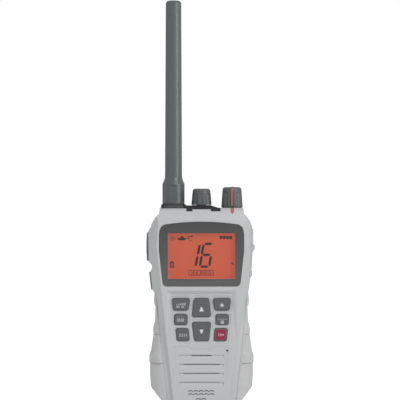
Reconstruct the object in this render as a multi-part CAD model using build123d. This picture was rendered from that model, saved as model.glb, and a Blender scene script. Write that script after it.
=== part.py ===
"""Hand-held floating VHF marine radio, about 264 mm tall with its whip antenna.

Frame: the origin is the middle of the foot that the radio stands on, +Z is up along the antenna,
the display and keys face -Y, and +X is the side with the jack cover. All sizes are millimetres.
"""

import math
import os

from build123d import *

# ---------------------------------------------------------------- case
case_height = 130.0
case_half_width = 32.9
case_front = 21.0  # depth of the case in front of the middle plane
case_rear = 19.0  # depth of the case behind the middle plane
wall = 2.8
parting_y = 7.0  # where the front cover ends
seal_gap = 0.4  # space between the covers, filled by the case seal
seal_inset = 1.5  # how far the case seal lies inside the outer surface
seal_width = 1.0
neck_half_width = 26.8
neck_height = 3.8
neck_flare = 0.4
shoulder_height = 12.4
foot_half_width = 20.2
foot_rise = 14.5  # height at which the slanted foot meets the side
foot_spread = 11.9  # sideways run of the slanted foot over that height
foot_front = 15.5
foot_rear = 14.5
top_front = 14.5
top_rear = 14.0

# Shape of the case from the foot to the top:
# (share of height, share of half width, share of depth, squareness of the cross-section)
CASE_SHAPE = [
    (-0.03, 0.980, 0.900, 3.6),
    (0.11, 0.994, 0.980, 3.6),
    (0.24, 1.000, 1.000, 3.6),
    (0.35, 0.939, 1.000, 3.8),
    (0.45, 0.894, 1.000, 4.0),
    (0.54, 0.893, 1.000, 4.2),
    (0.64, 0.953, 1.000, 4.6),
    (0.74, 0.981, 1.000, 5.0),
    (0.84, 1.000, 1.000, 5.0),
    (0.92, 0.985, 0.970, 5.0),
    (1.03, 0.950, 0.850, 5.0),
]

# ---------------------------------------------------------------- raised front panel
panel_rise = 0.8  # front panel stands this far out of the case
panel_top_drop = 7.2  # case top down to the middle of the panel's top edge
panel_top_half_width = 27.8
panel_wide_half_width = 29.0
panel_foot_half_width = 17.6
panel_foot_height = 3.0
panel_top_bow = 3.0
panel_draft = 25.0  # slope of the panel's edges, degrees
panel_top_draft = 6.0  # how many times gentler the slope of the panel's top edge is
panel_depth = 6.5

# ---------------------------------------------------------------- display
lens_top_drop = 9.0  # case top down to the lens's top edge
lens_bow = 2.3
lens_height = 41.2
lens_top_half_width = 26.2
lens_wide_half_width = 27.1
lens_wide_from = 102.5  # heights between which the lens has its full width
lens_wide_to = 112.8
lens_foot_half_width = 24.6
lens_top_radius = 4.6
lens_foot_radius = 2.8
lens_thickness = 1.4
lens_proud = 0.1
lens_gap = 0.15  # around the lens in its pocket
gasket_thickness = 0.3
gasket_width = 2.4
window_half_width = 21.5
window_height = 29.2
window_foot_rise = 4.7  # lens's lower edge up to the window
window_radius = 0.6
lcd_margin = 1.0  # glass hidden behind the bezel on each side
lcd_thickness = 1.3
frame_wall = 0.5
panel_gap = 0.2  # between the front wall's inner face and what stands behind it

# ---------------------------------------------------------------- keypad
ledge_drop = 2.8  # lens's lower edge down to the ledge above the keys
ledge_depth = 1.4
ledge_height = 2.2
ledge_half_width = 22.5
ledge_end_slope = 3.4  # how far the floor of the keypad rises over at each side
key_row_drop = 7.6  # lens's lower edge down to the top of the keys
key_proud = 0.4  # keys stand this far out of the front panel
key_gap = 0.09
key_radius = 1.3
key_edge = 0.45
key_flange = 0.8
flange_thickness = 0.8
key_travel = 0.6
key_rest_gap = 0.1  # left under a pressed key
well_margin = 1.5
well_depth = 0.12
mat_thickness = 1.0
mat_margin = 0.6
face_inset = 1.0  # border of the red key's face
face_sink = 0.5

# (name, side, top edge from and to, lower edge from and to, top and lower edge below the key row)
# Widths are distances from the middle; side is -1 left, +1 right, 0 in the middle.
KEYS = [
    ("key_power_level", -1, 7.3, 18.8, 8.6, 17.9, 0.0, 7.8),
    ("key_watch", -1, 9.1, 17.4, 9.1, 17.4, 10.2, 17.1),
    ("key_scan", -1, 8.4, 16.6, 7.6, 15.8, 19.2, 27.6),
    ("key_up", 0, -4.65, 4.65, -6.05, 6.05, 0.0, 12.0),
    ("key_down", 0, -6.1, 6.1, -4.7, 4.7, 15.2, 27.6),
    ("key_light", 1, 7.3, 18.8, 8.6, 17.9, 0.0, 7.8),
    ("key_lock", 1, 9.1, 17.4, 9.1, 17.4, 10.2, 17.1),
    ("key_sixteen", 1, 8.4, 16.9, 7.6, 16.0, 19.2, 27.6),
]

# ---------------------------------------------------------------- loudspeaker and microphone
speaker_height = 23.5
speaker_radius = 15.5
speaker_rim = 2.0
speaker_rim_thickness = 1.5
speaker_depth = 9.0
magnet_radius = 8.0
magnet_depth = 3.5
cone_wall = 0.4
membrane_thickness = 0.3
slot_pitch = 5.75
slot_top_height = 35.2
slot_half_widths = [6.4, 11.6, 11.6, 11.6]
slot_heights = [1.0, 0.85, 0.8, 0.6]
slot_lean = 0.55  # rise of the slots towards the inside, so that water runs out of them
groove_half_width = 14.2
groove_depth = 0.6
field_top = 41.3  # shallow field around the slots
field_dip = 1.6
field_depth = 0.14
field_foot = 14.0
mic_x = 16.4
mic_height = 38.6
mic_hole_radius = 0.65
mic_radius = 2.2
mic_boot_wall = 0.5

# ---------------------------------------------------------------- main board
board_half_width = 22.0
board_thickness = 1.6
board_foot_height = 39.6
board_top_drop = 13.0  # case top down to the board's top edge
post_radius = 2.0
post_x = 20.6
lower_post_x = 19.9
lower_post_rise = 3.0  # board's lower edge up to the lower posts
upper_post_drop = 1.7  # lens's lower edge down to the upper posts
board_screw_radius = 0.8
board_screw_length = 3.6
board_screw_head = 1.6
shield_depth = 3.0
shield_half_width = 16.0

# ---------------------------------------------------------------- side buttons
talk_drop = 25.1  # case top down to the middle of the talk button
talk_height = 18.4
talk_depth = 13.0
talk_y = -2.5
talk_proud = 2.9
talk_crown = 0.45
talk_travel = 1.2
surround_proud = 1.7  # swelling of the case around the talk button
surround_run = 4.2  # front slope of both swellings
aux_drop = 47.2
aux_height = 11.4
aux_depth = 10.0
aux_proud = 2.1
aux_surround_proud = 1.15
aux_travel = 0.8
button_gap = 0.3
button_flange = 0.9
button_rest_gap = 0.15
side_board_thickness = 1.2
talk_switch_height = 3.4
switch_size = 6.0

# ---------------------------------------------------------------- jacks and their cover
cover_height = 31.0
cover_top_drop = 13.5
cover_front_y = -13.0
cover_rear_y = 4.0
cover_gap = 0.3
cover_proud = 0.35
cover_radius = 2.5
cover_tab_proud = 1.8
cover_tab_height = 2.4
cover_lip_proud = 1.0
jack_face_x = 28.4  # flat inside the wall that the jacks stand on
cover_thickness = 1.6
cover_step = 0.6  # inner half of the cover is smaller all round by this
cover_bead_radius = 1.0  # round bead that the cover turns on, along its rear edge
cover_bead_length = 20.5  # from the cover's top edge down
cover_bead_sink = 0.4  # case's half width in to the bead's axis
plug_radius = 2.6
plug_length = 1.4
jack_hole_radius = 3.5
jack_spacing = 13.0
jack_body = 7.0
jack_length = 11.0
jack_bore_depth = 9.0
accessory_bore_radius = 1.8
charge_bore_radius = 2.6
contact_pin_radius = 0.6

# ---------------------------------------------------------------- top controls
control_y = 0.0
volume_x = 0.0
squelch_x = 19.8
bush_radius = 3.5
bush_gap = 0.1
shaft_radius = 3.0
shaft_gap = 0.05
pot_size = 8.6
pot_height = 8.0
seal_ring_height = 0.8
seal_ring_width = 1.1
nut_flats = 8.0
nut_height = 1.4
knob_clearance = 0.4
volume_radius = 6.6
volume_top_radius = 5.6
volume_height = 10.5
squelch_radius = 6.95
squelch_top_radius = 6.05
squelch_height = 13.0
knob_edge = 1.8
flute_count = 10
flute_radius = 3.2
flute_depth = 0.35
pointer_width = 1.5
pointer_proud = 0.35
plate_left = -26.2
plate_right = 12.1
plate_half_depth = 12.5
plate_rise = 1.5
plate_sink = 0.8
plate_gap = 0.2
plate_radius = 5.0
plate_slope_from = 6.4  # right of here the plate slopes down into its seat
plate_slope_drop = 2.2
collar_radius = 6.2  # collar of the plate under the volume knob
collar_gap = 0.15
tab_drop = 2.0
TABS = [(-9.5, -6.0), (6.2, 12.0)]  # from and to, of the plate's two front tabs

# ---------------------------------------------------------------- antenna
antenna_x = -18.15
antenna_base_radius = 7.2
antenna_base_height = 15.4
antenna_shoulder = 4.4
whip_foot_radius = 5.55
whip_top_radius = 5.05
whip_length = 114.6
whip_tip_edge = 1.6
washer_height = 0.8
washer_radius = 8.0
stud_radius = 3.1
stud_height = 7.0  # antenna stud above the washer
stud_play = 0.05
connector_radius = 4.5
connector_cap = 1.5
socket_flange_radius = 5.0
socket_flange_height = 2.4
socket_hole_gap = 0.1
core_radius = 1.2
core_tip_gap = 8.0
grip_flats = 6
flat_depth = 0.35
flat_height = 11.0

# ---------------------------------------------------------------- screws
upper_screw_x = 26.8
upper_screw_drop = 10.5
lower_screw_x = 13.0
lower_screw_height = 9.0
screw_radius = 1.2
screw_head_radius = 2.3
screw_head_height = 1.8
screw_length = 13.0
boss_radius = 2.6
rear_boss_radius = 3.3
head_pocket = 4.5  # depth of a screw's pocket below the rear face
head_gap = 0.3
hole_gap = 0.2

# ---------------------------------------------------------------- battery and its door
door_half_width = 22.5
door_foot = 15.5
door_top = 62.5
door_inner_y = 15.0
door_radius = 3.0
door_gap = 0.3
door_seal_thickness = 0.8
door_seal_width = 1.2
bay_half_width = 20.6
bay_foot = 19.6
bay_top = 59.6
bay_front_y = 0.6
bay_wall = 1.8
bay_margin = 2.2  # from the door's opening to the outside of the bay's walls
battery_gap = 0.3
battery_radius = 1.6
contact_width = 2.4
contact_height = 5.0
contact_spacing = 9.0
hinge_y = 16.9
hinge_rise = 1.8  # from the door's lower edge up to its hinge pin
hinge_pin_radius = 1.0
knuckle_radius = 1.8
knuckle_from = 8.0
knuckle_to = 14.0
lug_width = 4.0
hinge_play = 0.2
pin_play = 0.05
latch_width = 14.0
latch_height = 5.0
latch_travel = 2.5

# ---------------------------------------------------------------- belt clip
clip_pad_half_width = 12.3
clip_pad_top_drop = 13.0
clip_pad_height = 25.0
clip_pad_sink = 0.6
clip_base_thickness = 3.0
clip_pin_drop = 26.0
clip_pin_y = 23.8
clip_pin_radius = 1.0
ear_thickness = 2.8
ear_radius = 2.2
ear_from = 8.5
arm_gap = 0.2
arm_lug_radius = 2.2
arm_lug_from = 4.6
arm_front_y = 26.3
arm_thickness = 2.2
arm_half_width = 10.6
arm_tip_height = 66.0
arm_finger_rise = 12.0
arm_tip_gap = 0.4
spring_wire_radius = 0.35
spring_coil_radius = 1.6
spring_turns = 6
clip_screw_radius = 1.4
clip_screw_head_radius = 2.6
clip_screw_length = 9.0
clip_screw_from_middle = 8.5
clip_boss_radius = 3.2
eye_x = -15.0
eye_width = 4.0
eye_drop = 7.5
eye_rise = 2.4  # from the rear face out to the middle of the strap hole
eye_hole_radius = 1.9
eye_wall = 1.6

# ---------------------------------------------------------------- side grips
grip_thickness = 1.3
grip_top = 75.0
grip_gap = 0.05
grip_rear_from = 26.5
# Front ends of the grips, where they run out into the case: height, depth and slope across
GRIP_EASE = [
    (1.0, -18.0, -0.29),
    (20.0, -19.0, -0.24),
    (36.0, -18.3, -0.09),
    (44.0, -17.35, 0.07),
    (52.0, -15.95, 0.26),
    (60.0, -13.95, 0.69),
    (67.0, -11.75, 0.96),
    (75.5, -10.7, 1.10),
]
# Ridges of the grips from the top down: each is the height of its lower seam and a list of
# (height above that seam, how far the ridge stands out of the case there)
RIDGES = [
    (66.8, [(0.0, 0.80), (1.5, 1.15), (4.6, 1.12), (8.4, 0.10)]),
    (48.8, [(0.0, 0.70), (3.4, 1.20), (5.4, 1.00), (7.6, 0.45), (18.0, 0.40)]),
    (30.2, [(0.0, 0.90), (4.7, 1.35), (7.0, 0.70), (18.6, 0.50)]),
    (14.4, [(0.0, 0.20), (3.0, 0.25), (7.0, 0.50), (15.8, 0.42)]),
    (2.0, [(0.0, 0.10), (6.0, 0.30), (12.4, 0.35)]),
]

# ---------------------------------------------------------------- derived positions
panel_front = -(case_front + panel_rise)
wall_inner = -(case_front - wall)
rear_inner = case_rear - wall
roof = case_height - wall
rear_start = parting_y + seal_gap
lens_top = case_height - lens_top_drop
lens_foot = lens_top - lens_height
lens_back = panel_front - lens_proud + lens_thickness
lens_seat = lens_back + gasket_thickness
window_foot = lens_foot + window_foot_rise
window_top = window_foot + window_height
lcd_front = wall_inner + panel_gap
key_row = lens_foot - key_row_drop
ledge = lens_foot - ledge_drop
key_front = panel_front - key_proud
flange_front = wall_inner + panel_gap
mat_front = flange_front + flange_thickness + key_travel + key_rest_gap
board_front = mat_front + mat_thickness
board_back = board_front + board_thickness
board_top = case_height - board_top_drop
panel_slope = (panel_wide_half_width - panel_foot_half_width) / (106.0 - panel_foot_height)
talk_z = case_height - talk_drop
aux_z = case_height - aux_drop
cover_top = case_height - cover_top_drop
cover_foot = cover_top - cover_height
cover_y = (cover_front_y + cover_rear_y) / 2
jack_z = (cover_top + cover_foot) / 2
cover_hinge_x = case_half_width - cover_bead_sink
cover_hinge_y = cover_rear_y - cover_bead_radius
plate_top = case_height + plate_rise
nut_top = case_height + nut_height
bush_top = nut_top + 0.2
antenna_foot = plate_top + washer_height
hinge_z = door_foot + hinge_rise
door_opening_foot = hinge_z - (case_rear - hinge_y) - door_gap
seat_y = door_inner_y - door_seal_thickness
clip_pin_z = case_height - clip_pin_drop
clip_pad_top = case_height - clip_pad_top_drop
clip_base_y = case_rear - clip_pad_sink
clip_face_y = clip_base_y + clip_base_thickness


# ---------------------------------------------------------------- small helpers
def box(x, y, z):
    """Return a block between two x values, two y values and two z values."""
    low = Pos(min(x), min(y), min(z))
    size = [abs(x[1] - x[0]), abs(y[1] - y[0]), abs(z[1] - z[0])]
    return low * Solid.make_box(*size)


def rod(radius, start, direction, length):
    """Return a round bar from a start point along a direction."""
    return Solid.make_cylinder(radius, length, Plane(origin=start, z_dir=direction))


def tube(outer, inner, start, direction, length):
    """Return a round bar with a hole along its middle."""
    return rod(outer, start, direction, length) - rod(inner, start, direction, length)


def turned(outline, x, y):
    """Return a solid turned about an upright axis from (radius, height) points."""
    face = Face(Wire.make_polygon([(r, 0, z) for r, z in outline], close=True))
    return Pos(x, y, 0) * Solid.revolve(face, 360, Axis.Z)


def prism_y(outline, y_from, y_to):
    """Return an outline of (x, z) points drawn out along Y."""
    face = Face(Wire.make_polygon([(x, y_from, z) for x, z in outline], close=True))
    return Solid.extrude(face, Vector(0, y_to - y_from, 0))


def prism_x(outline, x_from, x_to):
    """Return an outline of (y, z) points drawn out along X."""
    face = Face(Wire.make_polygon([(x_from, y, z) for y, z in outline], close=True))
    return Solid.extrude(face, Vector(x_to - x_from, 0, 0))


def prism_z(outline, z_from, z_to):
    """Return an outline of (x, y) points drawn up along Z."""
    face = Face(Wire.make_polygon([(x, y, z_from) for x, y in outline], close=True))
    return Solid.extrude(face, Vector(0, 0, z_to - z_from))


def rounded(shape, axis, radius):
    """Return a shape with its edges along one axis rounded."""
    return fillet(shape.edges().filter_by(axis), radius)


def carved(shape, cuts):
    """Return a shape after each of the cuts has been taken from it in turn."""
    for cut in cuts:
        shape = shape - cut
    return shape


def joined(shape, others):
    """Return a shape after each of the others has been added to it in turn."""
    for other in others:
        shape = shape + other
    return shape


def mirrored(shape):
    """Return the shape's mirror image on the other side of x = 0."""
    return mirror(shape, Plane.YZ)


# ---------------------------------------------------------------- case shape
def shape_at(height):
    """Return half width, depth share and squareness of the case at one height."""
    share = height / case_height
    for low, high in zip(CASE_SHAPE, CASE_SHAPE[1:]):
        if share <= high[0]:
            break
    t = (share - low[0]) / (high[0] - low[0])
    width, depth, square = [a + (b - a) * t for a, b in zip(low[1:], high[1:])]
    return width * case_half_width, depth, square


def section(height, growth):
    """Return the case's cross-section at one height, grown outward by an amount."""
    half_width, depth, square = shape_at(height)
    points = []
    for k in range(24):
        turn = 2 * math.pi * k / 24
        across = math.copysign(abs(math.cos(turn)) ** (2 / square), math.cos(turn))
        along = math.copysign(abs(math.sin(turn)) ** (2 / square), math.sin(turn))
        reach = (case_front if along < 0 else case_rear) * depth + growth
        points.append(Vector((half_width + growth) * across, reach * along, height))
    return Face(Wire([Edge.make_spline(points, periodic=True)]))


def hull(growth):
    """Return the smooth body of the case before its foot and shoulders are cut."""
    heights = [row[0] * case_height for row in CASE_SHAPE]
    return loft([section(height, growth) for height in heights])


def front_outline(growth):
    """Return a block with the case's outline seen from the front."""
    shoulder_foot = case_height - neck_height - shoulder_height
    side = case_half_width + 0.2
    reach = side - neck_half_width - neck_flare
    radius = (reach ** 2 + shoulder_height ** 2) / (2 * reach)
    middle = math.asin(shoulder_height / radius) / 2
    foot_corner = foot_half_width + foot_spread
    slope = foot_rise / foot_spread
    far = side + 10
    foot = Polyline((0, 0), (foot_half_width, 0), (foot_corner, foot_rise),
                    (foot_corner + far - side, foot_rise + slope * (far - side)),
                    (far, shoulder_foot), (side, shoulder_foot))
    shoulder = ThreePointArc(
        (side, shoulder_foot),
        (side - radius * (1 - math.cos(middle)), shoulder_foot + radius * math.sin(middle)),
        (neck_half_width + neck_flare, case_height - neck_height))
    neck = Polyline((neck_half_width + neck_flare, case_height - neck_height),
                    (neck_half_width, case_height), (0, case_height))
    half = make_face(foot + shoulder + neck + Line((0, case_height), (0, 0)))
    face = half + mirror(half, Plane.YZ)
    if growth:
        face = offset(face, growth, kind=Kind.INTERSECTION)
    return extrude(Plane.XZ * face, 60, both=True)


def side_outline(growth, front_growth=0.0):
    """Return a block with the case's outline seen from the side."""
    front = -(case_front + front_growth)
    foot = -(foot_front + front_growth)
    top = -(top_front + front_growth)
    bend = 8.0
    rear_bend = 6.0
    roll = case_height - 9.0
    line = (Polyline((foot_rear, 0), (foot, 0))
            + ThreePointArc((foot, 0), (front + 1.6, 2.9), (front, bend))
            + Line((front, bend), (front, roll))
            + ThreePointArc((front, roll), (front + 1.7, case_height - 3.2), (top, case_height))
            + Line((top, case_height), (top_rear, case_height))
            + ThreePointArc((top_rear, case_height), (case_rear - 1.4, case_height - 3.2),
                            (case_rear, roll))
            + Line((case_rear, roll), (case_rear, rear_bend))
            + ThreePointArc((case_rear, rear_bend), (case_rear - 1.2, 2.2), (foot_rear, 0)))
    face = make_face(line)
    if growth:
        face = offset(face, growth, kind=Kind.INTERSECTION)
    return extrude(Plane.YZ * face, 60, both=True)


def case_shape(growth):
    """Return the whole case's outer shape, grown outward by an amount."""
    return hull(growth) & front_outline(growth) & side_outline(growth)


def panel_outline(y, grow):
    """Return the outline of the raised front panel at one depth."""
    top = case_height - panel_top_drop + grow * panel_top_draft
    corner = top - panel_top_bow
    wide = 106.0
    low = -3.0
    edge = panel_foot_half_width + (low - panel_foot_height) * panel_slope + grow
    right = panel_top_half_width + grow
    side = panel_wide_half_width + grow
    arc = Edge.make_three_point_arc((-right, y, corner), (0, y, top), (right, y, corner))
    walk = [(right, y, corner), (side, y, wide), (edge, y, low), (-edge, y, low),
            (-side, y, wide), (-right, y, corner)]
    lines = [Edge.make_line(a, b) for a, b in zip(walk, walk[1:])]
    return Face(Wire([arc] + lines))


def front_panel():
    """Return the raised panel that carries the display and the keys."""
    spread = panel_depth * math.tan(math.radians(panel_draft))
    block = loft([panel_outline(panel_front, 0.0), panel_outline(panel_front + panel_depth, spread)],
                 ruled=True)
    return block & side_outline(0, panel_rise) & front_outline(0)


def grip_near(z):
    """Return where the right grip starts in front at one height."""
    return panel_foot_half_width + (z - panel_foot_height) * panel_slope + 4.0


def grip_ease():
    """Return the space behind the sloping front end of the right grip."""
    faces = []
    for z, depth, slope in GRIP_EASE:
        low_x = grip_near(z) - 4
        high_x = grip_near(z) + 14
        corners = [(low_x, depth - 4 * slope, z), (high_x, depth + 14 * slope, z), (high_x, 45, z),
                   (low_x, 45, z)]
        faces.append(Face(Wire.make_polygon([Vector(c) for c in corners], close=True)))
    return loft(faces, ruled=True)


def grip_region(gap):
    """Return the space at the right side that the side grip takes up."""
    near_top = grip_near(grip_top) - gap
    low = -5.0
    near_low = grip_near(low) - gap
    top = grip_top + gap
    front = prism_y([(near_low, low), (60, low), (60, top), (near_top, top)], -40, 0)
    rear = box((grip_rear_from - gap, 60), (-1, 40), (low, top))
    return front + rear


def grip_ridge(foot, rows, top):
    """Return one ridge of the grips as a ring around the whole case."""
    low_growth = rows[0][1]
    faces = [section(foot, low_growth)]
    for rise, growth in rows[1:]:
        faces.append(section(foot + rise, growth))
    if foot + rows[-1][0] < top:
        faces.append(section(top, rows[-1][1]))
    return loft(faces, ruled=True)


def side_grip(core):
    """Return the rubber grip of the right side."""
    top = grip_top
    ring = None
    for foot, rows in RIDGES:
        ridge = grip_ridge(foot, rows, top)
        ring = ridge if ring is None else ring + ridge
        top = foot
    return (ring & front_outline(0.25) & side_outline(0.25) & (grip_region(0) & grip_ease())) - core


# ---------------------------------------------------------------- shapes shared by neighbours
def lens_outline(growth, y_from, y_to):
    """Return the display lens's outline, grown by an amount, between two depths."""
    top = lens_top + growth
    corner = top - lens_bow
    foot = lens_foot - growth
    right = lens_top_half_width + growth
    side = lens_wide_half_width + growth
    low = lens_foot_half_width + growth
    arc = Edge.make_three_point_arc((-right, y_from, corner), (0, y_from, top),
                                    (right, y_from, corner))
    half = [(right, corner), (side, lens_wide_to), (side, lens_wide_from), (low, foot)]
    walk = [(x, y_from, z) for x, z in half] + [(-x, y_from, z) for x, z in reversed(half)]
    lines = [Edge.make_line(a, b) for a, b in zip(walk, walk[1:])]
    block = Solid.extrude(Face(Wire([arc] + lines)), Vector(0, y_to - y_from, 0))
    upright = block.edges().filter_by(Axis.Y)
    upper = [e for e in upright if e.center().Z > corner - 0.5]
    lower = [e for e in upright if e.center().Z < foot + 0.5]
    block = fillet(upper, lens_top_radius + growth)
    upright = block.edges().filter_by(Axis.Y)
    lower = [e for e in upright if e.center().Z < foot + 0.5]
    return fillet(lower, lens_foot_radius + growth)


def display_opening(growth, y_from, y_to):
    """Return the display window's opening, grown by an amount."""
    half = window_half_width + growth
    block = box((-half, half), (y_from, y_to), (window_foot - growth, window_top + growth))
    return rounded(block, Axis.Y, window_radius)


def display_block(margin, y):
    """Return the rectangular block of the display module with a margin around its glass."""
    half = window_half_width + lcd_margin + margin
    reach = lcd_margin + margin
    return box((-half, half), y, (window_foot - reach, window_top + reach))


def key_block(key, growth, y_from, y_to):
    """Return one key's outline, grown by an amount, between two depths."""
    side, top_a, top_b, low_a, low_b, upper, lower = key[1:]
    g = growth
    points = [(top_a - g, key_row - upper + g), (top_b + g, key_row - upper + g),
              (low_b + g, key_row - lower - g), (low_a - g, key_row - lower - g)]
    if side < 0:
        points = [(-x, z) for x, z in points]
    block = prism_y(points, y_from, y_to)
    return rounded(block, Axis.Y, max(key_radius + g, 0.3))


def keypad_floor(extra, y_from):
    """Return the space in front of the sloping floor that the keys stand in."""
    low = key_row - KEYS[-1][7] - 2.0
    floor_top = panel_front + ledge_depth + extra
    outline = [(y_from, ledge), (panel_front, ledge), (floor_top, ledge - ledge_height),
               (panel_front + extra, low), (y_from, low)]
    half = ledge_half_width
    ends = [(-half, y_from), (-half, panel_front), (ledge_end_slope - half, panel_front + 1.6),
            (half - ledge_end_slope, panel_front + 1.6), (half, panel_front), (half, y_from)]
    return prism_x(outline, -half, half) & prism_z(ends, low - 1, ledge + 1)


def side_window(y_middle, z_middle, depth, height, growth, x_from, x_to):
    """Return a rounded opening in a side wall, between two x values."""
    y = (y_middle - depth / 2 - growth, y_middle + depth / 2 + growth)
    z = (z_middle - height / 2 - growth, z_middle + height / 2 + growth)
    return rounded(box((x_from, x_to), y, z), Axis.X, 2.4 + growth)


def screw_places():
    """Return the x and z of the four case screws."""
    upper = case_height - upper_screw_drop
    return [(side * x, z) for side in (-1, 1)
            for x, z in ((upper_screw_x, upper), (lower_screw_x, lower_screw_height))]


def post_places():
    """Return the x and z of the main board's four posts."""
    upper = lens_foot - upper_post_drop
    lower = board_foot_height + lower_post_rise
    return [(side * x, z) for side in (-1, 1)
            for x, z in ((post_x, upper), (lower_post_x, lower))]


def cover_shape(growth, inset):
    """Return the outline block of the jack cover on the right side."""
    z = (cover_foot - growth + inset, cover_top + growth - inset)
    y = (cover_front_y - growth + inset, cover_rear_y + growth - inset)
    return rounded(box((20, 45), y, z), Axis.X, cover_radius + growth - inset)


def jack_places():
    """Return the heights of the two jacks."""
    return [jack_z + jack_spacing / 2, jack_z - jack_spacing / 2]


# ---------------------------------------------------------------- case halves
talk_face_x = -(shape_at(talk_z)[0] + talk_proud)
talk_pad_x = 29.5
aux_pad_x = 26.9
side_board_x = -(talk_pad_x - 0.1 - button_flange - talk_travel - button_rest_gap - talk_switch_height)
pin_z = (talk_z - talk_height / 2 - button_flange + aux_z + aux_height / 2 + button_flange) / 2


def button_places():
    """Return height, length, depth and inner pad position of the two side buttons."""
    return [(talk_z, talk_height, talk_depth, talk_pad_x), (aux_z, aux_height, aux_depth, aux_pad_x)]


def button_pads():
    """Return the pads that thicken the left wall around the side buttons."""
    margin = button_flange + 1.6
    return [side_window(talk_y, z, depth, height, margin, -40, -pad_x)
            for z, height, depth, pad_x in button_places()]


def swellings():
    """Return the swellings of the left wall around the two side buttons."""
    shapes = []
    for z, height, depth, proud in ((talk_z, talk_height, talk_depth, surround_proud),
                                    (aux_z, aux_height, aux_depth, aux_surround_proud)):
        high = z + height / 2 + 0.7
        low = z - height / 2 - 0.2
        high_x = -(shape_at(high)[0] + proud)
        low_x = -(shape_at(low)[0] + proud)
        root = -(shape_at(z)[0] - 2.4)
        upright = prism_y([(root, high + (root - high_x) * 1.7), (high_x, high), (low_x, low),
                           (root, low - (root - low_x) * 1.25)], -30, parting_y)
        front = talk_y - depth / 2 - 2.5
        rear = parting_y - 2.0
        level = prism_z([(root, front - surround_run), (high_x, front), (high_x, rear),
                         (high_x + 2.0, parting_y), (root, parting_y)],
                        max(low - 12, grip_top + grip_gap), high + 12)
        shapes.append(upright & level)
    return shapes


def button_cuts():
    """Return the openings of the side buttons and the room for their flanges."""
    cuts = []
    room = button_flange + button_gap
    for z, height, depth, pad_x in button_places():
        cuts.append(side_window(talk_y, z, depth, height, room, -pad_x, -pad_x + 2.4))
        cuts.append(side_window(talk_y, z, depth, height, button_gap, -40, -pad_x + 0.1))
    return cuts


def side_board_pins():
    """Return the two pins that carry the board behind the side buttons."""
    pins = []
    for y in (talk_y - 4.5, talk_y + 4.5):
        length = shape_at(pin_z)[0] - 1.0 + side_board_x
        pins.append(rod(1.5, (side_board_x, y, pin_z), (-1, 0, 0), length))
        pins.append(rod(0.8, (side_board_x, y, pin_z), (1, 0, 0), side_board_thickness + 0.6))
    return pins


def display_cuts():
    """Return the lens seat, the window and the room for the display module."""
    return [lens_outline(lens_gap, panel_front - 5, lens_seat),
            display_opening(0.0, panel_front - 5, wall_inner + 1),
            display_block(frame_wall + panel_gap, (wall_inner, board_back + 2))]


def keypad_cuts():
    """Return the sloping floor, the wells and the openings of the keys."""
    wells = [key_block(key, well_margin, panel_front - 3, wall_inner - 1) for key in KEYS]
    well = joined(wells[0], wells[1:])
    half = KEYS[0][3] + key_flange + mat_margin + 0.2
    foot = key_row - KEYS[-1][7] - key_flange - mat_margin - 0.2
    back = box((-half, half), (wall_inner, board_back), (foot, key_row + key_flange + 0.8))
    holes = [key_block(key, key_gap, panel_front - 3, wall_inner + 1) for key in KEYS]
    wells = well & keypad_floor(well_depth, panel_front - 3)
    return [keypad_floor(0.0, panel_front - 3), wells, back] + holes


def sound_cuts():
    """Return the slots, the loudspeaker's seat and the microphone's hole."""
    cuts = [rod(speaker_radius + 0.1, (0, wall_inner, speaker_height), (0, 1, 0), speaker_depth),
            rod(mic_radius + mic_boot_wall, (mic_x, wall_inner, mic_height), (0, 1, 0), 4),
            rod(mic_hole_radius, (mic_x, panel_front - 1, mic_height), (0, 1, 0), 6)]
    row = slot_top_height
    for half, height in zip(slot_half_widths, slot_heights):
        cuts.append(prism_x([(panel_front - 1, row + 0.7), (panel_front + groove_depth, row + 0.6),
                             (panel_front, row - 2.1), (panel_front - 1, row - 2.1)],
                            -groove_half_width, groove_half_width))
        deep = wall_inner + 0.3
        rise = slot_lean * (deep - panel_front)
        top = row + 0.6
        cuts.append(prism_x([(panel_front, top), (deep, top + rise), (deep, top + rise - height),
                             (panel_front, top - height)], -half, half))
        row -= slot_pitch
    field = prism_x([(panel_front - 1, field_top + 1), (panel_front + field_depth, field_top + 1),
                     (panel_front, field_foot), (panel_front - 1, field_foot)], -20, 20)
    outline = [(-17.5, field_top), (-8.0, field_top), (-6.0, field_top - field_dip),
               (6.0, field_top - field_dip), (8.0, field_top), (17.5, field_top),
               (15.0, field_foot), (-15.0, field_foot)]
    return cuts + [field & prism_y(outline, panel_front - 2, panel_front + 2)]


def top_cuts():
    """Return the holes of the antenna and the knobs and the seat of the top plate."""
    cuts = []
    for x in (volume_x, squelch_x):
        cuts.append(rod(bush_radius + bush_gap, (x, control_y, roof - 1), (0, 0, 1), 6))
        cuts.append(rod(bush_radius + seal_ring_width + 0.1,
                        (x, control_y, case_height - seal_ring_height), (0, 0, 1), 3))
    cuts.append(rod(stud_radius + socket_hole_gap, (antenna_x, control_y, roof - 1), (0, 0, 1), 6))
    seat = box((plate_left - plate_gap, plate_right + plate_gap),
               (-plate_half_depth - plate_gap, plate_half_depth + plate_gap),
               (case_height - plate_sink, case_height + 5))
    cuts.append(rounded(seat, Axis.Z, plate_radius + plate_gap) & box((-40, 40), (-40, parting_y), (0, 140)))
    for left, right in TABS:
        notch = box((left - plate_gap, right + plate_gap), (-25, -plate_half_depth + 3),
                    (case_height - tab_drop - plate_gap, case_height + 5))
        cuts.append(notch - side_outline(-plate_sink))
    return cuts


def cover_bead(gap):
    """Return the round bead that the jack cover turns on, grown by a gap."""
    foot = (cover_hinge_x, cover_hinge_y, cover_top - cover_bead_length - gap)
    return rod(cover_bead_radius + gap, foot, (0, 0, 1), cover_bead_length + 2 * gap)


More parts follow.
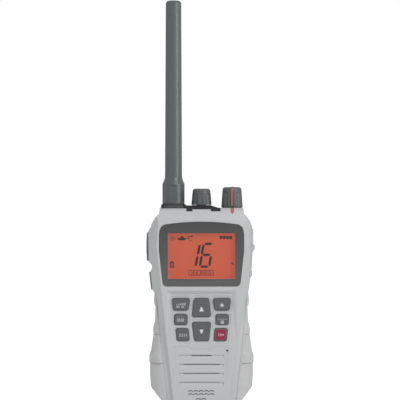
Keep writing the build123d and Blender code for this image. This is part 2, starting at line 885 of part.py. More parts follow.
def jack_cuts():
    """Return the seat of the jack cover and the holes of the two jacks."""
    cuts = [cover_shape(cover_gap, 0) - hull(-cover_thickness - 0.1), cover_bead(cover_gap)]
    for z in jack_places():
        cuts.append(rod(jack_hole_radius, (jack_face_x - 1, cover_y, z), (1, 0, 0), 10))
    return cuts


def board_posts():
    """Return the four posts of the main board."""
    length = board_front - wall_inner + 0.8
    return [rod(post_radius, (x, board_front, z), (0, -1, 0), length) for x, z in post_places()]


def post_holes():
    """Return the screw holes in the four posts of the main board."""
    depth = board_screw_length - board_thickness + 0.2
    return [rod(board_screw_radius + 0.05, (x, board_front, z), (0, -1, 0), depth)
            for x, z in post_places()]


def front_cover(blank, inner):
    """Return the front half of the case with its posts, pads and openings."""
    half = box((-60, 60), (-60, parting_y), (-10, 140))
    limit = blank & half
    fills = [rod(boss_radius, (x, wall_inner + 0.4, z), (0, 1, 0), parting_y - wall_inner - 0.4)
             for x, z in screw_places()]
    fills.append(cover_shape(1.4, 0) & box((jack_face_x, 45), (-40, 40), (0, 140)))
    fills += button_pads()
    space = carved(inner, fills)
    cover = joined(limit - space, swellings())
    room = board_half_width + 0.2
    board = box((-room, room), (board_front, board_back + 1.5), (board_foot_height - 0.2, board_top + 0.2))
    cuts = [board] + button_cuts() + display_cuts() + keypad_cuts() + sound_cuts() + top_cuts()
    cuts += jack_cuts()
    reach = parting_y - (case_rear - head_pocket - screw_length) + 1.0
    cuts += [rod(screw_radius + 0.03, (x, parting_y, z), (0, -1, 0), reach) for x, z in screw_places()]
    cover = joined(carved(cover, cuts), board_posts() + side_board_pins())
    return carved(cover, post_holes())


def bay_block():
    """Return the outside of the battery bay's walls."""
    half = bay_half_width + bay_wall
    depth = box((-half, half), (bay_front_y - bay_wall, seat_y), (bay_foot - bay_wall, bay_top + bay_wall))
    wide = door_half_width + bay_margin
    rim = box((-wide, wide), (seat_y - 3.5, case_rear),
              (door_opening_foot - bay_margin, door_top + bay_margin))
    return depth + rim


def rear_cuts():
    """Return the openings of the rear half for the battery, the screws and the clip."""
    cuts = [box((-bay_half_width, bay_half_width), (bay_front_y, seat_y + 1), (bay_foot, bay_top))]
    opening = box((-door_half_width - door_gap, door_half_width + door_gap), (seat_y, 40),
                  (door_opening_foot, door_top + door_gap))
    upper = [e for e in opening.edges().filter_by(Axis.Y) if e.center().Z > door_top]
    cuts.append(fillet(upper, door_radius))
    cuts += [contact(x) for x in contact_places()]
    half = latch_width / 2 - 1.0 + 0.3
    cuts.append(box((-half, half), (seat_y + 2.1, seat_y + 4.1),
                    (door_top, door_top + latch_travel + 0.2)))
    for x, z in screw_places():
        cuts.append(rod(screw_radius + hole_gap, (x, rear_start - 1, z), (0, 1, 0), 20))
        cuts.append(rod(screw_head_radius + head_gap, (x, case_rear - head_pocket, z), (0, 1, 0), 12))
    half = clip_pad_half_width + 0.1
    cuts.append(box((-half, half), (clip_base_y, 40),
                    (clip_pad_top - clip_pad_height - 0.1, clip_pad_top + 0.1)))
    for side in (-1, 1):
        cuts.append(rod(clip_screw_radius + 0.03, (0, clip_base_y + 1, clip_screw_z(side)), (0, -1, 0),
                        clip_screw_length))
    return cuts


def strap_eye(room):
    """Return the eye for a wrist strap."""
    start = (eye_x - eye_width / 2, case_rear + eye_rise, case_height - eye_drop)
    eye = tube(eye_hole_radius + eye_wall, eye_hole_radius, start, (1, 0, 0), eye_width)
    return eye - room


def rear_cover(blank, inner, room):
    """Return the rear half of the case with the battery bay."""
    half = box((-60, 60), (rear_start, 60), (-10, 140))
    fills = [rod(rear_boss_radius, (x, rear_start, z), (0, 1, 0), 12) for x, z in screw_places()]
    fills += [rod(clip_boss_radius, (0, rear_inner - 5.5, clip_screw_z(side)), (0, 1, 0), 6.5)
              for side in (-1, 1)]
    fills.append(bay_block())
    cover = (blank & half) - carved(inner, fills)
    front_bay = bay_block() & box((-60, 60), (-60, rear_start), (-10, 140))
    cover = carved(cover + front_bay, rear_cuts())
    cover = joined(cover, [strap_eye(room), hinge_lug(-1), hinge_lug(1)])
    return carved(cover, hinge_pins())


def case_seal(inset_outer, inset_inner):
    """Return the rubber seal in the joint between the two halves."""
    slab = box((-60, 60), (parting_y, rear_start), (-10, 140))
    return (inset_outer - inset_inner) & slab


# ---------------------------------------------------------------- display
def display_bezel():
    """Return the dark lens with its opening for the clear window."""
    lens = lens_outline(0.0, lens_back, panel_front - lens_proud)
    return lens - display_opening(0.0, lens_back + 1, panel_front - 2)


def display_gasket():
    """Return the thin gasket ring behind the lens."""
    ring = lens_outline(0.0, lens_seat, lens_back)
    return ring - lens_outline(-gasket_width, lens_seat + 1, lens_back - 1)


def lcd_frame():
    """Return the frame that holds the display glass and its light."""
    return display_block(frame_wall, (lcd_front, board_front)) - display_block(0.0, (lcd_front - 1, 0))


# ---------------------------------------------------------------- keypad
def key_cap(key):
    """Return one key with its bevelled face and the flange that keeps it in."""
    cap = key_block(key, 0.0, key_front, flange_front)
    face = cap.faces().sort_by(Axis.Y)[0]
    cap = chamfer(face.edges(), key_edge)
    cap += key_block(key, key_flange, flange_front, flange_front + flange_thickness)
    if key[0] == "key_sixteen":
        cap -= red_face(0.0)
    return cap


def red_face(proud):
    """Return the red face let into the key for channel sixteen."""
    key = KEYS[-1]
    return key_block(key, -face_inset, key_front + face_sink, key_front - proud)


def keypad_mat():
    """Return the rubber mat behind the keys."""
    half = KEYS[0][3] + key_flange + mat_margin
    foot = key_row - KEYS[-1][7] - key_flange - mat_margin
    mat = box((-half, half), (mat_front, board_front), (foot, key_row + key_flange + mat_margin))
    for x, z in post_places():
        mat -= rod(post_radius + 0.3, (x, mat_front - 1, z), (0, 1, 0), 4)
    return mat


# ---------------------------------------------------------------- electronics
def main_board():
    """Return the main circuit board."""
    half = board_half_width
    board = box((-half, half), (board_front, board_back), (board_foot_height, board_top))
    for x, z in post_places():
        board -= rod(board_screw_radius + 0.1, (x, board_front - 1, z), (0, 1, 0), 4)
    return board


def board_screws():
    """Return the four screws of the main board."""
    screws = []
    for x, z in post_places():
        shank = rod(board_screw_radius, (x, board_back, z), (0, -1, 0), board_screw_length)
        screws.append(shank + rod(board_screw_head, (x, board_back, z), (0, 1, 0), 1.2))
    return Compound(children=screws)


def shield_cans():
    """Return the two tin covers on the back of the main board."""
    cans = []
    for half, foot, top in ((shield_half_width, 88.0, 112.0), (shield_half_width - 4, 54.0, 74.0)):
        can = box((-half, half), (board_back, board_back + shield_depth), (foot, top))
        can -= box((-half + 0.5, half - 0.5), (board_back - 1, board_back + shield_depth - 0.5),
                   (foot + 0.5, top - 0.5))
        cans.append(can)
    return Compound(children=cans)


def speaker_parts():
    """Return the membrane, the frame with its magnet, and the cone of the loudspeaker."""
    z = speaker_height
    front = wall_inner
    membrane = rod(speaker_radius, (0, front, z), (0, 1, 0), membrane_thickness)
    start = front + membrane_thickness
    back = wall_inner + speaker_depth
    ring = tube(speaker_radius, speaker_radius - speaker_rim, (0, start, z), (0, 1, 0),
                speaker_rim_thickness)
    rim_back = start + speaker_rim_thickness
    basket = Solid.make_cone(speaker_radius, magnet_radius, back - rim_back,
                             Plane(origin=(0, rim_back, z), z_dir=(0, 1, 0)))
    basket -= Solid.make_cone(speaker_radius - speaker_rim, magnet_radius - 2, back - rim_back,
                              Plane(origin=(0, rim_back, z), z_dir=(0, 1, 0)))
    frame = ring + basket
    cone_front = rim_back - 0.5
    cone_back = back - 1.5
    outer = Solid.make_cone(speaker_radius - speaker_rim, 4.0, cone_back - cone_front,
                            Plane(origin=(0, cone_front, z), z_dir=(0, 1, 0)))
    inner = Solid.make_cone(speaker_radius - speaker_rim, 4.0, cone_back - cone_front,
                            Plane(origin=(0, cone_front - cone_wall, z), z_dir=(0, 1, 0)))
    cone = outer - inner
    magnet = rod(magnet_radius, (0, back, z), (0, 1, 0), magnet_depth)
    return membrane, Compound(children=[frame - outer, magnet]), cone


def microphone():
    """Return the microphone capsule."""
    start = wall_inner + mic_boot_wall
    return rod(mic_radius, (mic_x, start, mic_height), (0, 1, 0), board_front - start)


def mic_boot():
    """Return the rubber boot around the microphone."""
    boot = rod(mic_radius + mic_boot_wall, (mic_x, wall_inner, mic_height), (0, 1, 0),
               board_front - wall_inner)
    boot -= rod(mic_hole_radius, (mic_x, wall_inner - 1, mic_height), (0, 1, 0), 4)
    return boot - microphone()


def side_board():
    """Return the small circuit board behind the side buttons."""
    foot = aux_z - aux_height / 2
    top = talk_z + talk_height / 2 + 0.5
    board = box((side_board_x, side_board_x + side_board_thickness),
                (talk_y - talk_depth / 2, talk_y + talk_depth / 2), (foot, top))
    for y in (talk_y - 4.5, talk_y + 4.5):
        board -= rod(0.85, (side_board_x - 1, y, pin_z), (1, 0, 0), 4)
    return board


def side_switches():
    """Return the two switches under the side buttons."""
    half = switch_size / 2
    aux_face = -(aux_pad_x - 0.1 - button_flange - aux_travel - button_rest_gap)
    switches = []
    for z, face in ((talk_z, side_board_x - talk_switch_height), (aux_z, aux_face)):
        switches.append(box((face, side_board_x), (talk_y - half, talk_y + half), (z - half, z + half)))
    return Compound(children=switches)


# ---------------------------------------------------------------- side buttons and jacks
def talk_button():
    """Return the arched talk button of the left side."""
    inner = -talk_pad_x + 0.1
    block = side_window(talk_y, talk_z, talk_depth, talk_height, 0.0, talk_face_x - 1, inner)
    half = talk_height / 2
    arc = Edge.make_three_point_arc((talk_face_x + talk_crown, 0, talk_z - half), (talk_face_x, 0, talk_z),
                                    (talk_face_x + talk_crown, 0, talk_z + half))
    walk = [(talk_face_x + talk_crown, 0, talk_z + half), (inner, 0, talk_z + half),
            (inner, 0, talk_z - half), (talk_face_x + talk_crown, 0, talk_z - half)]
    lines = [Edge.make_line(a, b) for a, b in zip(walk, walk[1:])]
    arch = extrude(Face(Wire([arc] + lines)), 30, (0, 1, 0), both=True)
    button = block & arch
    return button + side_window(talk_y, talk_z, talk_depth, talk_height, button_flange,
                                inner, inner + button_flange)


def side_button():
    """Return the lower button of the left side."""
    inner = -aux_pad_x + 0.1
    low = aux_z - aux_height / 2
    high = aux_z + aux_height / 2
    low_x = -(shape_at(low)[0] + aux_proud)
    high_x = -(shape_at(high)[0] + aux_proud)
    block = side_window(talk_y, aux_z, aux_depth, aux_height, 0.0, high_x - 2, inner)
    block &= prism_y([(low_x, low), (high_x, high), (inner, high), (inner, low)], -30, 30)
    return block + side_window(talk_y, aux_z, aux_depth, aux_height, button_flange,
                               inner, inner + button_flange)


def jack_cover():
    """Return the rubber cover over the two jacks, with its hinge bead, plugs and pull tab."""
    front = hull(cover_proud)
    outer = cover_shape(0, 0) & (front - hull(-cover_thickness / 2))
    under = cover_shape(0, cover_step) & (hull(-cover_thickness / 2) - hull(-cover_thickness))
    bead_foot = cover_top - cover_bead_length
    cover = outer + under - box((20, 45), (cover_hinge_y, 40), (bead_foot, cover_top + 1))
    cover += cover_bead(0) & front
    base_x = shape_at(jack_z)[0] - cover_thickness - 0.9
    plugs = hull(-cover_thickness / 2) & box((base_x - plug_length, 45), (-20, 20), (50, 140))
    for z in jack_places():
        cover += rod(plug_radius, (20, cover_y, z), (1, 0, 0), 20) & plugs
    tab_x = shape_at(jack_z)[0] + cover_tab_proud
    half = cover_tab_height / 2
    tab_z = jack_z + 3.6
    root = tab_x - cover_tab_proud - 0.8
    tab = prism_y([(root, tab_z - half - 3.4), (tab_x, tab_z - half), (tab_x, tab_z + half),
                   (root, tab_z + half + 3.4)], cover_front_y + 1, cover_front_y + 7)
    lip_x = shape_at(cover_foot + 2)[0] + cover_lip_proud
    lip = prism_y([(lip_x - 1.8, cover_foot + 7), (lip_x, cover_foot + 3.4), (lip_x, cover_foot + 1.6),
                   (lip_x - 0.4, cover_foot), (lip_x - 1.8, cover_foot)],
                  cover_front_y + 2.5, cover_rear_y - 4)
    return cover + tab + lip


def jack(z, bore_radius):
    """Return one jack body standing on the inside of the right wall."""
    half = jack_body / 2
    body = box((jack_face_x - jack_length, jack_face_x), (cover_y - half, cover_y + half),
               (z - half, z + half))
    return body - rod(bore_radius, (jack_face_x, cover_y, z), (-1, 0, 0), jack_bore_depth)


def charge_pin():
    """Return the pin in the middle of the charging jack."""
    z = jack_places()[1]
    return rod(contact_pin_radius, (jack_face_x - jack_bore_depth, cover_y, z), (1, 0, 0),
               jack_bore_depth - 1.5)


# ---------------------------------------------------------------- top controls
def top_plate():
    """Return the black plate around the antenna and the volume knob."""
    plate = box((plate_left, plate_right), (-plate_half_depth, plate_half_depth),
                (case_height - plate_sink, plate_top))
    plate = rounded(plate, Axis.Z, plate_radius)
    rim = plate.faces().sort_by(Axis.Z)[-1]
    plate = chamfer(rim.edges(), 0.4)
    plate &= box((-60, 60), (-60, parting_y - 0.1), (0, 140)) + box((-60, 60), (-60, 60), (case_height, 140))
    for left, right in TABS:
        tab = box((left, right), (-25, -plate_half_depth + 2), (case_height - tab_drop, plate_top - 0.5))
        plate += (tab & side_outline(0.25)) - side_outline(-plate_sink)
    plate -= prism_y([(plate_slope_from, plate_top), (plate_right + 1, plate_top - plate_slope_drop),
                      (plate_right + 1, plate_top + 2), (plate_slope_from, plate_top + 2)], -30, 30)
    collar_top = plate_top + knob_clearance - collar_gap
    plate += rod(collar_radius, (volume_x, control_y, case_height), (0, 0, 1), collar_top - case_height)
    plate -= rod(nut_flats * 0.66, (volume_x, control_y, 100), (0, 0, 1), 60)
    plate -= rod(stud_radius + socket_hole_gap, (antenna_x, control_y, 100), (0, 0, 1), 60)
    return plate


def control(x):
    """Return a rotary control with its threaded bush through the roof."""
    half = pot_size / 2
    body = box((x - half, x + half), (control_y - half, control_y + half), (roof - pot_height, roof))
    bush = rod(bush_radius, (x, control_y, roof), (0, 0, 1), bush_top - roof)
    foot = roof - pot_height + 1.0
    return body + bush - rod(shaft_radius + shaft_gap, (x, control_y, foot), (0, 0, 1), 20)


def control_shaft(x, top):
    """Return the shaft of a rotary control up into its knob."""
    foot = roof - pot_height + 1.2
    return rod(shaft_radius, (x, control_y, foot), (0, 0, 1), top - foot)


def control_nuts():
    """Return the two nuts that hold the rotary controls."""
    nuts = []
    for x in (volume_x, squelch_x):
        across = nut_flats / 2 / math.cos(math.pi / 6)
        points = [(x + across * math.cos(k * math.pi / 3), control_y + across * math.sin(k * math.pi / 3),
                   case_height) for k in range(6)]
        nut = Solid.extrude(Face(Wire.make_polygon(points, close=True)), Vector(0, 0, nut_height))
        nuts.append(nut - rod(bush_radius, (x, control_y, case_height - 1), (0, 0, 1), 5))
    return Compound(children=nuts)


def control_seals():
    """Return the rubber rings under the two nuts."""
    foot = case_height - seal_ring_height
    rings = [tube(bush_radius + seal_ring_width, bush_radius, (x, control_y, foot), (0, 0, 1),
                  seal_ring_height) for x in (volume_x, squelch_x)]
    return rings


def knob(x, foot, radius, top_radius, height, shaft_top):
    """Return a tapered, fluted knob."""
    top = foot + height
    outline = [(0, foot), (radius - 0.2, foot), (radius, foot + 0.2), (top_radius, top), (0, top)]
    body = turned(outline, x, control_y)
    rim = body.edges().filter_by(GeomType.CIRCLE).sort_by(Axis.Z)[-1]
    body = fillet(rim, knob_edge)
    for k in range(flute_count):
        turn = 2 * math.pi * (k + 0.5) / flute_count
        reach = radius + flute_radius - flute_depth
        lean = (radius - top_radius) * 0.95
        low = Vector(x + reach * math.cos(turn), control_y + reach * math.sin(turn), foot - 1)
        high = Vector(x + (reach - lean) * math.cos(turn), control_y + (reach - lean) * math.sin(turn), top)
        groove = rod(flute_radius, low, high - low, height - knob_edge - 0.3)
        body -= groove
    body -= rod(shaft_radius, (x, control_y, foot - 1), (0, 0, 1), shaft_top - foot + 1)
    recess = bush_top + 0.3 - foot
    if recess > 0:
        body -= rod(nut_flats * 0.66, (x, control_y, foot - 1), (0, 0, 1), recess + 1)
    return body


def squelch_pointer(foot):
    """Return the red rib that marks the setting of the squelch knob."""
    half = pointer_width / 2
    front = control_y - squelch_radius - pointer_proud
    lean = squelch_radius - squelch_top_radius
    top = foot + squelch_height + 0.3
    outline = [(front, foot + 0.6), (front + lean, top - 2.1), (front + lean + 0.55, top - 0.65),
               (front + lean + 2.0, top),
               (control_y - 1.5, top), (control_y - 1.5, top - 1.3),
               (front + lean + 1.5, top - 1.9), (front + 1.3, foot + 0.6)]
    return prism_x(outline, squelch_x - half, squelch_x + half)


# ---------------------------------------------------------------- antenna
def antenna_profile():
    """Return the antenna's outline as (radius, height) points."""
    shoulder = antenna_foot + antenna_base_height - 2.4
    tip = shoulder + antenna_shoulder + whip_length
    return [(0, antenna_foot), (antenna_base_radius - 0.3, antenna_foot),
            (antenna_base_radius, antenna_foot + 0.3), (antenna_base_radius, shoulder),
            (whip_foot_radius + 0.5, shoulder + antenna_shoulder * 0.65),
            (whip_foot_radius, shoulder + antenna_shoulder), (whip_top_radius, tip - whip_tip_edge),
            (whip_top_radius - 0.6, tip - 0.55), (whip_top_radius - 1.7, tip), (0, tip)]


def antenna_sheath(insert, core):
    """Return the rubber body of the antenna with flats to grip at its foot."""
    sheath = turned(antenna_profile(), antenna_x, control_y)
    for k in range(grip_flats):
        turn = 360 * (k + 0.5) / grip_flats
        near = antenna_base_radius - flat_depth
        plane = box((near, near + 5), (-2.6, 2.6), (antenna_foot + 1.2, antenna_foot + 1.2 + flat_height))
        sheath -= Pos(antenna_x, control_y, 0) * Rot(0, 0, turn) * plane
    return sheath - insert - core


def antenna_connector():
    """Return the brass insert that screws onto the antenna stud."""
    height = stud_height + 0.5
    start = (antenna_x, control_y, antenna_foot)
    insert = rod(connector_radius, start, (0, 0, 1), height + connector_cap)
    return insert - rod(stud_radius + stud_play, start, (0, 0, 1), height)


def antenna_core():
    """Return the wire that runs up inside the antenna."""
    foot = antenna_foot + stud_height + 0.5 + connector_cap
    top = antenna_profile()[-1][1] - core_tip_gap
    return rod(core_radius, (antenna_x, control_y, foot), (0, 0, 1), top - foot)


def antenna_insert_space():
    """Return the space that the antenna's brass insert fills."""
    height = stud_height + 0.5 + connector_cap
    return rod(connector_radius, (antenna_x, control_y, antenna_foot), (0, 0, 1), height)


def antenna_socket():
    """Return the fixed stud that the antenna screws onto."""
    start = (antenna_x, control_y, roof - socket_flange_height)
    flange = rod(socket_flange_radius, start, (0, 0, 1), socket_flange_height)
    stud = rod(stud_radius, (antenna_x, control_y, roof), (0, 0, 1), antenna_foot + stud_height - roof)
    return flange + stud


def antenna_washer():
    """Return the rubber washer under the antenna."""
    return tube(washer_radius, stud_radius, (antenna_x, control_y, plate_top), (0, 0, 1), washer_height)


# ---------------------------------------------------------------- screws
def case_screws():
    """Return the four screws that hold the case together."""
    y = case_rear - head_pocket
    screws = []
    for x, z in screw_places():
        shank = rod(screw_radius, (x, y, z), (0, -1, 0), screw_length)
        head = rod(screw_head_radius, (x, y, z), (0, 1, 0), screw_head_height)
        cross = box((x - 1.4, x + 1.4), (y + 0.8, y + 3), (z - 0.3, z + 0.3))
        cross += box((x - 0.3, x + 0.3), (y + 0.8, y + 3), (z - 1.4, z + 1.4))
        screws.append(shank + head - cross)
    return Compound(children=screws)


# ---------------------------------------------------------------- battery
def contact_places():
    """Return the x values of the battery's three contacts."""
    return [k * contact_spacing for k in (-1, 0, 1)]


def contact(x):
    """Return one contact through the front wall of the battery bay."""
    half = contact_width / 2
    z = bay_top - 8.0
    return box((x - half, x + half), (bay_front_y - bay_wall, bay_front_y), (z, z + contact_height))


def battery_contacts():
    """Return the three sprung contacts of the battery bay."""
    parts = []
    for x in contact_places():
        half = contact_width / 2 - 0.3
        z = bay_top - 8.0 + 0.6
        tip = box((x - half, x + half), (bay_front_y, bay_front_y + battery_gap),
                  (z, z + contact_height - 1.2))
        parts.append(contact(x) + tip)
    return parts


def battery_pack():
    """Return the rechargeable battery."""
    gap = battery_gap
    pack = box((-bay_half_width + gap, bay_half_width - gap), (bay_front_y + gap, door_inner_y - gap),
               (bay_foot + gap, bay_top - gap))
    return rounded(pack, Axis.Z, battery_radius)


def door_seal():
    """Return the rubber seal between the bay and its door."""
    outer = box((-bay_half_width - door_seal_width - 0.2, bay_half_width + door_seal_width + 0.2),
                (seat_y, door_inner_y),
                (bay_foot - door_seal_width - 0.2, bay_top + door_seal_width + 0.2))
    return outer - box((-bay_half_width - 0.2, bay_half_width + 0.2), (seat_y - 1, door_inner_y + 1),
                       (bay_foot - 0.2, bay_top + 0.2))


def hinge_lug(side):
    """Return one lug of the door's hinge on the rear cover."""
    start = side * (knuckle_to + hinge_play)
    lug = rod(knuckle_radius, (start, hinge_y, hinge_z), (side, 0, 0), lug_width)
    x = (start, start + side * lug_width)
    foot = box(x, (seat_y - 0.5, hinge_y + 1.0), (door_opening_foot - 0.5, hinge_z))
    return lug + foot


def hinge_pins():
    """Return the two pins of the door's hinge."""
    end = knuckle_to + hinge_play + lug_width
    return [rod(hinge_pin_radius, (side * (knuckle_from + 0.4), hinge_y, hinge_z), (side, 0, 0),
                end - knuckle_from - 0.4) for side in (-1, 1)]


def battery_door(body_skin):
    """Return the hinged door over the battery."""
    slab = box((-door_half_width, door_half_width), (door_inner_y, 40), (hinge_z, door_top))
    upper = [e for e in slab.edges().filter_by(Axis.Y) if e.center().Z > door_top - 1]
    door = fillet(upper, door_radius) & body_skin
    knuckle = rod(knuckle_radius, (-door_half_width, hinge_y, hinge_z), (1, 0, 0), 2 * door_half_width)
    door += knuckle
    for side in (-1, 1):
        x = (side * knuckle_to, side * (knuckle_to + lug_width + 2 * hinge_play))
        door -= box(x, (0, 40), (hinge_z - 3, hinge_z + knuckle_radius + 0.3))
        door -= rod(hinge_pin_radius + pin_play, (side * knuckle_from, hinge_y, hinge_z), (side, 0, 0), 20)
    half = latch_width / 2
    foot = door_top - latch_travel - latch_height
    door -= box((-half - 0.3, half + 0.3), (seat_y + 3.7, 40), (foot - 0.3, door_top + 1))
    door -= box((-half + 0.7, half - 0.7), (seat_y + 2.1, 40), (foot - 0.3, door_top + 1))
    return door


def door_latch():
    """Return the sliding latch in the battery door, drawn back from the case."""
    half = latch_width / 2
    foot = door_top - latch_travel - latch_height
    thumb = box((-half, half), (seat_y + 4.0, case_rear + 0.4), (foot, foot + latch_height))
    for k in range(3):
        z = foot + 1.1 + k * 1.2
        thumb -= box((-half + 1, half - 1), (case_rear - 0.1, case_rear + 2), (z, z + 0.5))
    bolt = box((-half + 1.0, half - 1.0), (seat_y + 2.3, seat_y + 4.0), (foot, door_top - 0.6))
    return thumb + bolt


# ---------------------------------------------------------------- belt clip
def clip_screw_z(side):
    """Return the height of the upper or the lower screw of the belt clip."""
    return clip_pin_z + side * clip_screw_from_middle


def clip_base():
    """Return the base plate of the belt clip with the ears of its pin."""
    plate = box((-clip_pad_half_width, clip_pad_half_width), (clip_base_y, clip_face_y),
                (clip_pad_top - clip_pad_height, clip_pad_top))
    plate = rounded(plate, Axis.Y, 2.0)
    for side in (-1, 1):
        x = (side * ear_from, side * (ear_from + ear_thickness))
        plate += box(x, (clip_face_y - 1, clip_pin_y), (clip_pin_z - ear_radius, clip_pin_z + ear_radius))
        plate += rod(ear_radius, (x[0], clip_pin_y, clip_pin_z), (side, 0, 0), ear_thickness)
        z = clip_screw_z(side)
        plate -= rod(clip_screw_radius + 0.1, (0, 0, z), (0, 1, 0), 60)
        plate -= rod(clip_screw_head_radius + 0.1, (0, clip_face_y - 1.8, z), (0, 1, 0), 20)
    return plate - rod(clip_pin_radius, (-30, clip_pin_y, clip_pin_z), (1, 0, 0), 60)


def clip_pin():
    """Return the pin that the clip turns on."""
    reach = ear_from + ear_thickness
    return rod(clip_pin_radius, (-reach, clip_pin_y, clip_pin_z), (1, 0, 0), 2 * reach)


def clip_arm():
    """Return the long arm of the belt clip."""
    back = arm_front_y + arm_thickness
    top = clip_pin_z + arm_finger_rise
    tip_y = case_rear + arm_tip_gap
    side = [(arm_front_y, top), (back, top - 0.6), (back, arm_tip_height + 6),
            (back - 1.6, arm_tip_height + 1.5), (tip_y + 2.2, arm_tip_height),
            (tip_y, arm_tip_height + 2.6), (tip_y + 0.6, arm_tip_height + 4.5),
            (arm_front_y, arm_tip_height + 9)]
    arm = prism_x(side, -arm_half_width, arm_half_width)
    outline = [(-arm_half_width + 2.4, arm_tip_height - 1), (arm_half_width - 2.4, arm_tip_height - 1),
               (arm_half_width, clip_pin_z), (arm_half_width - 1.0, top + 1),
               (-arm_half_width + 1.0, top + 1), (-arm_half_width, clip_pin_z)]
    arm &= prism_y(outline, 0, 60)
    for side in (-1, 1):
        x = (side * arm_lug_from, side * (ear_from - arm_gap))
        arm += rod(arm_lug_radius, (x[0], clip_pin_y, clip_pin_z), (side, 0, 0), abs(x[1] - x[0]))
        arm += box(x, (clip_pin_y, arm_front_y + 0.5),
                   (clip_pin_z - arm_lug_radius, clip_pin_z + arm_lug_radius))
    return arm - rod(clip_pin_radius + pin_play, (-30, clip_pin_y, clip_pin_z), (1, 0, 0), 60)


def clip_spring():
    """Return the coil spring around the clip's pin with its two legs."""
    length = 2 * arm_lug_from - 1.2
    pitch = length / spring_turns
    path = Edge.make_helix(pitch, length, spring_coil_radius)
    start = path @ 0
    profile = Plane(origin=start, z_dir=path % 0) * Circle(spring_wire_radius)
    coil = sweep(profile, path=path)
    coil = Pos(-length / 2, clip_pin_y, clip_pin_z) * Rot(0, 90, 0) * coil
    start = Vector(-length / 2, clip_pin_y, clip_pin_z - spring_coil_radius)
    foot = Vector(-length / 2, clip_face_y + spring_wire_radius + 0.05, clip_pin_z - 7.0)
    return coil + rod(spring_wire_radius, start, foot - start, (foot - start).length)


def clip_screws():
    """Return the two screws that hold the clip's base."""
    screws = []
    for side in (-1, 1):
        z = clip_screw_z(side)
        seat = clip_face_y - 1.8
        shank = rod(clip_screw_radius, (0, seat, z), (0, -1, 0), clip_screw_length)
        head = rod(clip_screw_head_radius, (0, seat, z), (0, 1, 0), 1.5)
        cross = box((-1.6, 1.6), (seat + 0.6, seat + 3), (z - 0.35, z + 0.35))
        cross += box((-0.35, 0.35), (seat + 0.6, seat + 3), (z - 1.6, z + 1.6))
        screws.append(shank + head - cross)
    return Compound(children=screws)


# ---------------------------------------------------------------- write every piece
os.makedirs("parts", exist_ok=True)


def save(name, shape):
    """Write one piece to its file."""
    export_step(shape, "parts/" + name + ".step")


skin = case_shape(0)
core = case_shape(-grip_thickness)
inner = case_shape(-wall)
grip = side_grip(core)
grip_cut = grip_region(grip_gap) - core
blank = skin + front_panel() - grip_cut - mirrored(grip_cut)

save("front_cover", front_cover(blank, inner))
save("rear_cover", rear_cover(blank, inner, core))
save("case_seal", case_seal(case_shape(-seal_inset), case_shape(-seal_inset - seal_width)))
save("right_grip", grip)
save("left_grip", mirrored(grip))
save("display_bezel", display_bezel())
save("display_window", display_opening(0.0, lens_back, panel_front - lens_proud))
save("display_gasket", display_gasket())
save("lcd_frame", lcd_frame())
save("lcd_panel", display_block(0.0, (lcd_front, lcd_front + lcd_thickness)))
save("lcd_backlight", display_block(0.0, (lcd_front + lcd_thickness, board_front)))
for key in KEYS:
    save(key[0], key_cap(key))
save("sixteen_face", red_face(0.0))
save("keypad_mat", keypad_mat())
save("main_board", main_board())
save("board_screws", board_screws())
save("shield_cans", shield_cans())
membrane, frame, cone = speaker_parts()
save("speaker_membrane", membrane)
save("speaker_frame", frame)
save("speaker_cone", cone)
save("microphone", microphone())
save("mic_boot", mic_boot())
save("side_board", side_board())
save("side_switches", side_switches())
save("talk_button", talk_button())
save("side_button", side_button())
save("jack_cover", jack_cover())
save("jacks", Compound(children=[jack(jack_places()[0], accessory_bore_radius),
                                 jack(jack_places()[1], charge_bore_radius)]))
save("contacts", Compound(children=battery_contacts() + [charge_pin()]))
save("top_plate", top_plate())
volume_foot = plate_top + knob_clearance
squelch_foot = case_height + knob_clearance
save("rotary_controls", Compound(children=[control(volume_x), control(squelch_x)]))
save("control_nuts", control_nuts())
save("top_seals", Compound(children=control_seals() + [antenna_washer()]))
volume_shaft_top = volume_foot + volume_height - 3.0
squelch_shaft_top = squelch_foot + squelch_height - 3.0
save("volume_shaft", control_shaft(volume_x, volume_shaft_top))
save("squelch_shaft", control_shaft(squelch_x, squelch_shaft_top))
save("volume_knob", knob(volume_x, volume_foot, volume_radius, volume_top_radius, volume_height,
                         volume_shaft_top))
squelch_body = knob(squelch_x, squelch_foot, squelch_radius, squelch_top_radius, squelch_height,
                    squelch_shaft_top)
pointer = squelch_pointer(squelch_foot)
save("squelch_knob", squelch_body - pointer)
save("squelch_pointer", pointer)
save("antenna_sheath", antenna_sheath(antenna_insert_space(), antenna_core()))
save("antenna_connector", antenna_connector())
save("antenna_core", antenna_core())
save("antenna_socket", antenna_socket())
save("case_screws", case_screws())
save("battery_pack", battery_pack())
save("door_seal", door_seal())
save("turning_pins", Compound(children=hinge_pins() + [clip_pin()]))
save("battery_door", battery_door(skin))
save("door_latch", door_latch())
save("clip_base", clip_base())
save("clip_arm", clip_arm())
save("clip_spring", clip_spring())
save("clip_screws", clip_screws())
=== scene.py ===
"""Looks of a hand-held marine radio: finishes, printed marks and display on the fixed CAD frame."""
import math

import bmesh
import bpy
from mathutils import Matrix, Vector
from mathutils.bvhtree import BVHTree


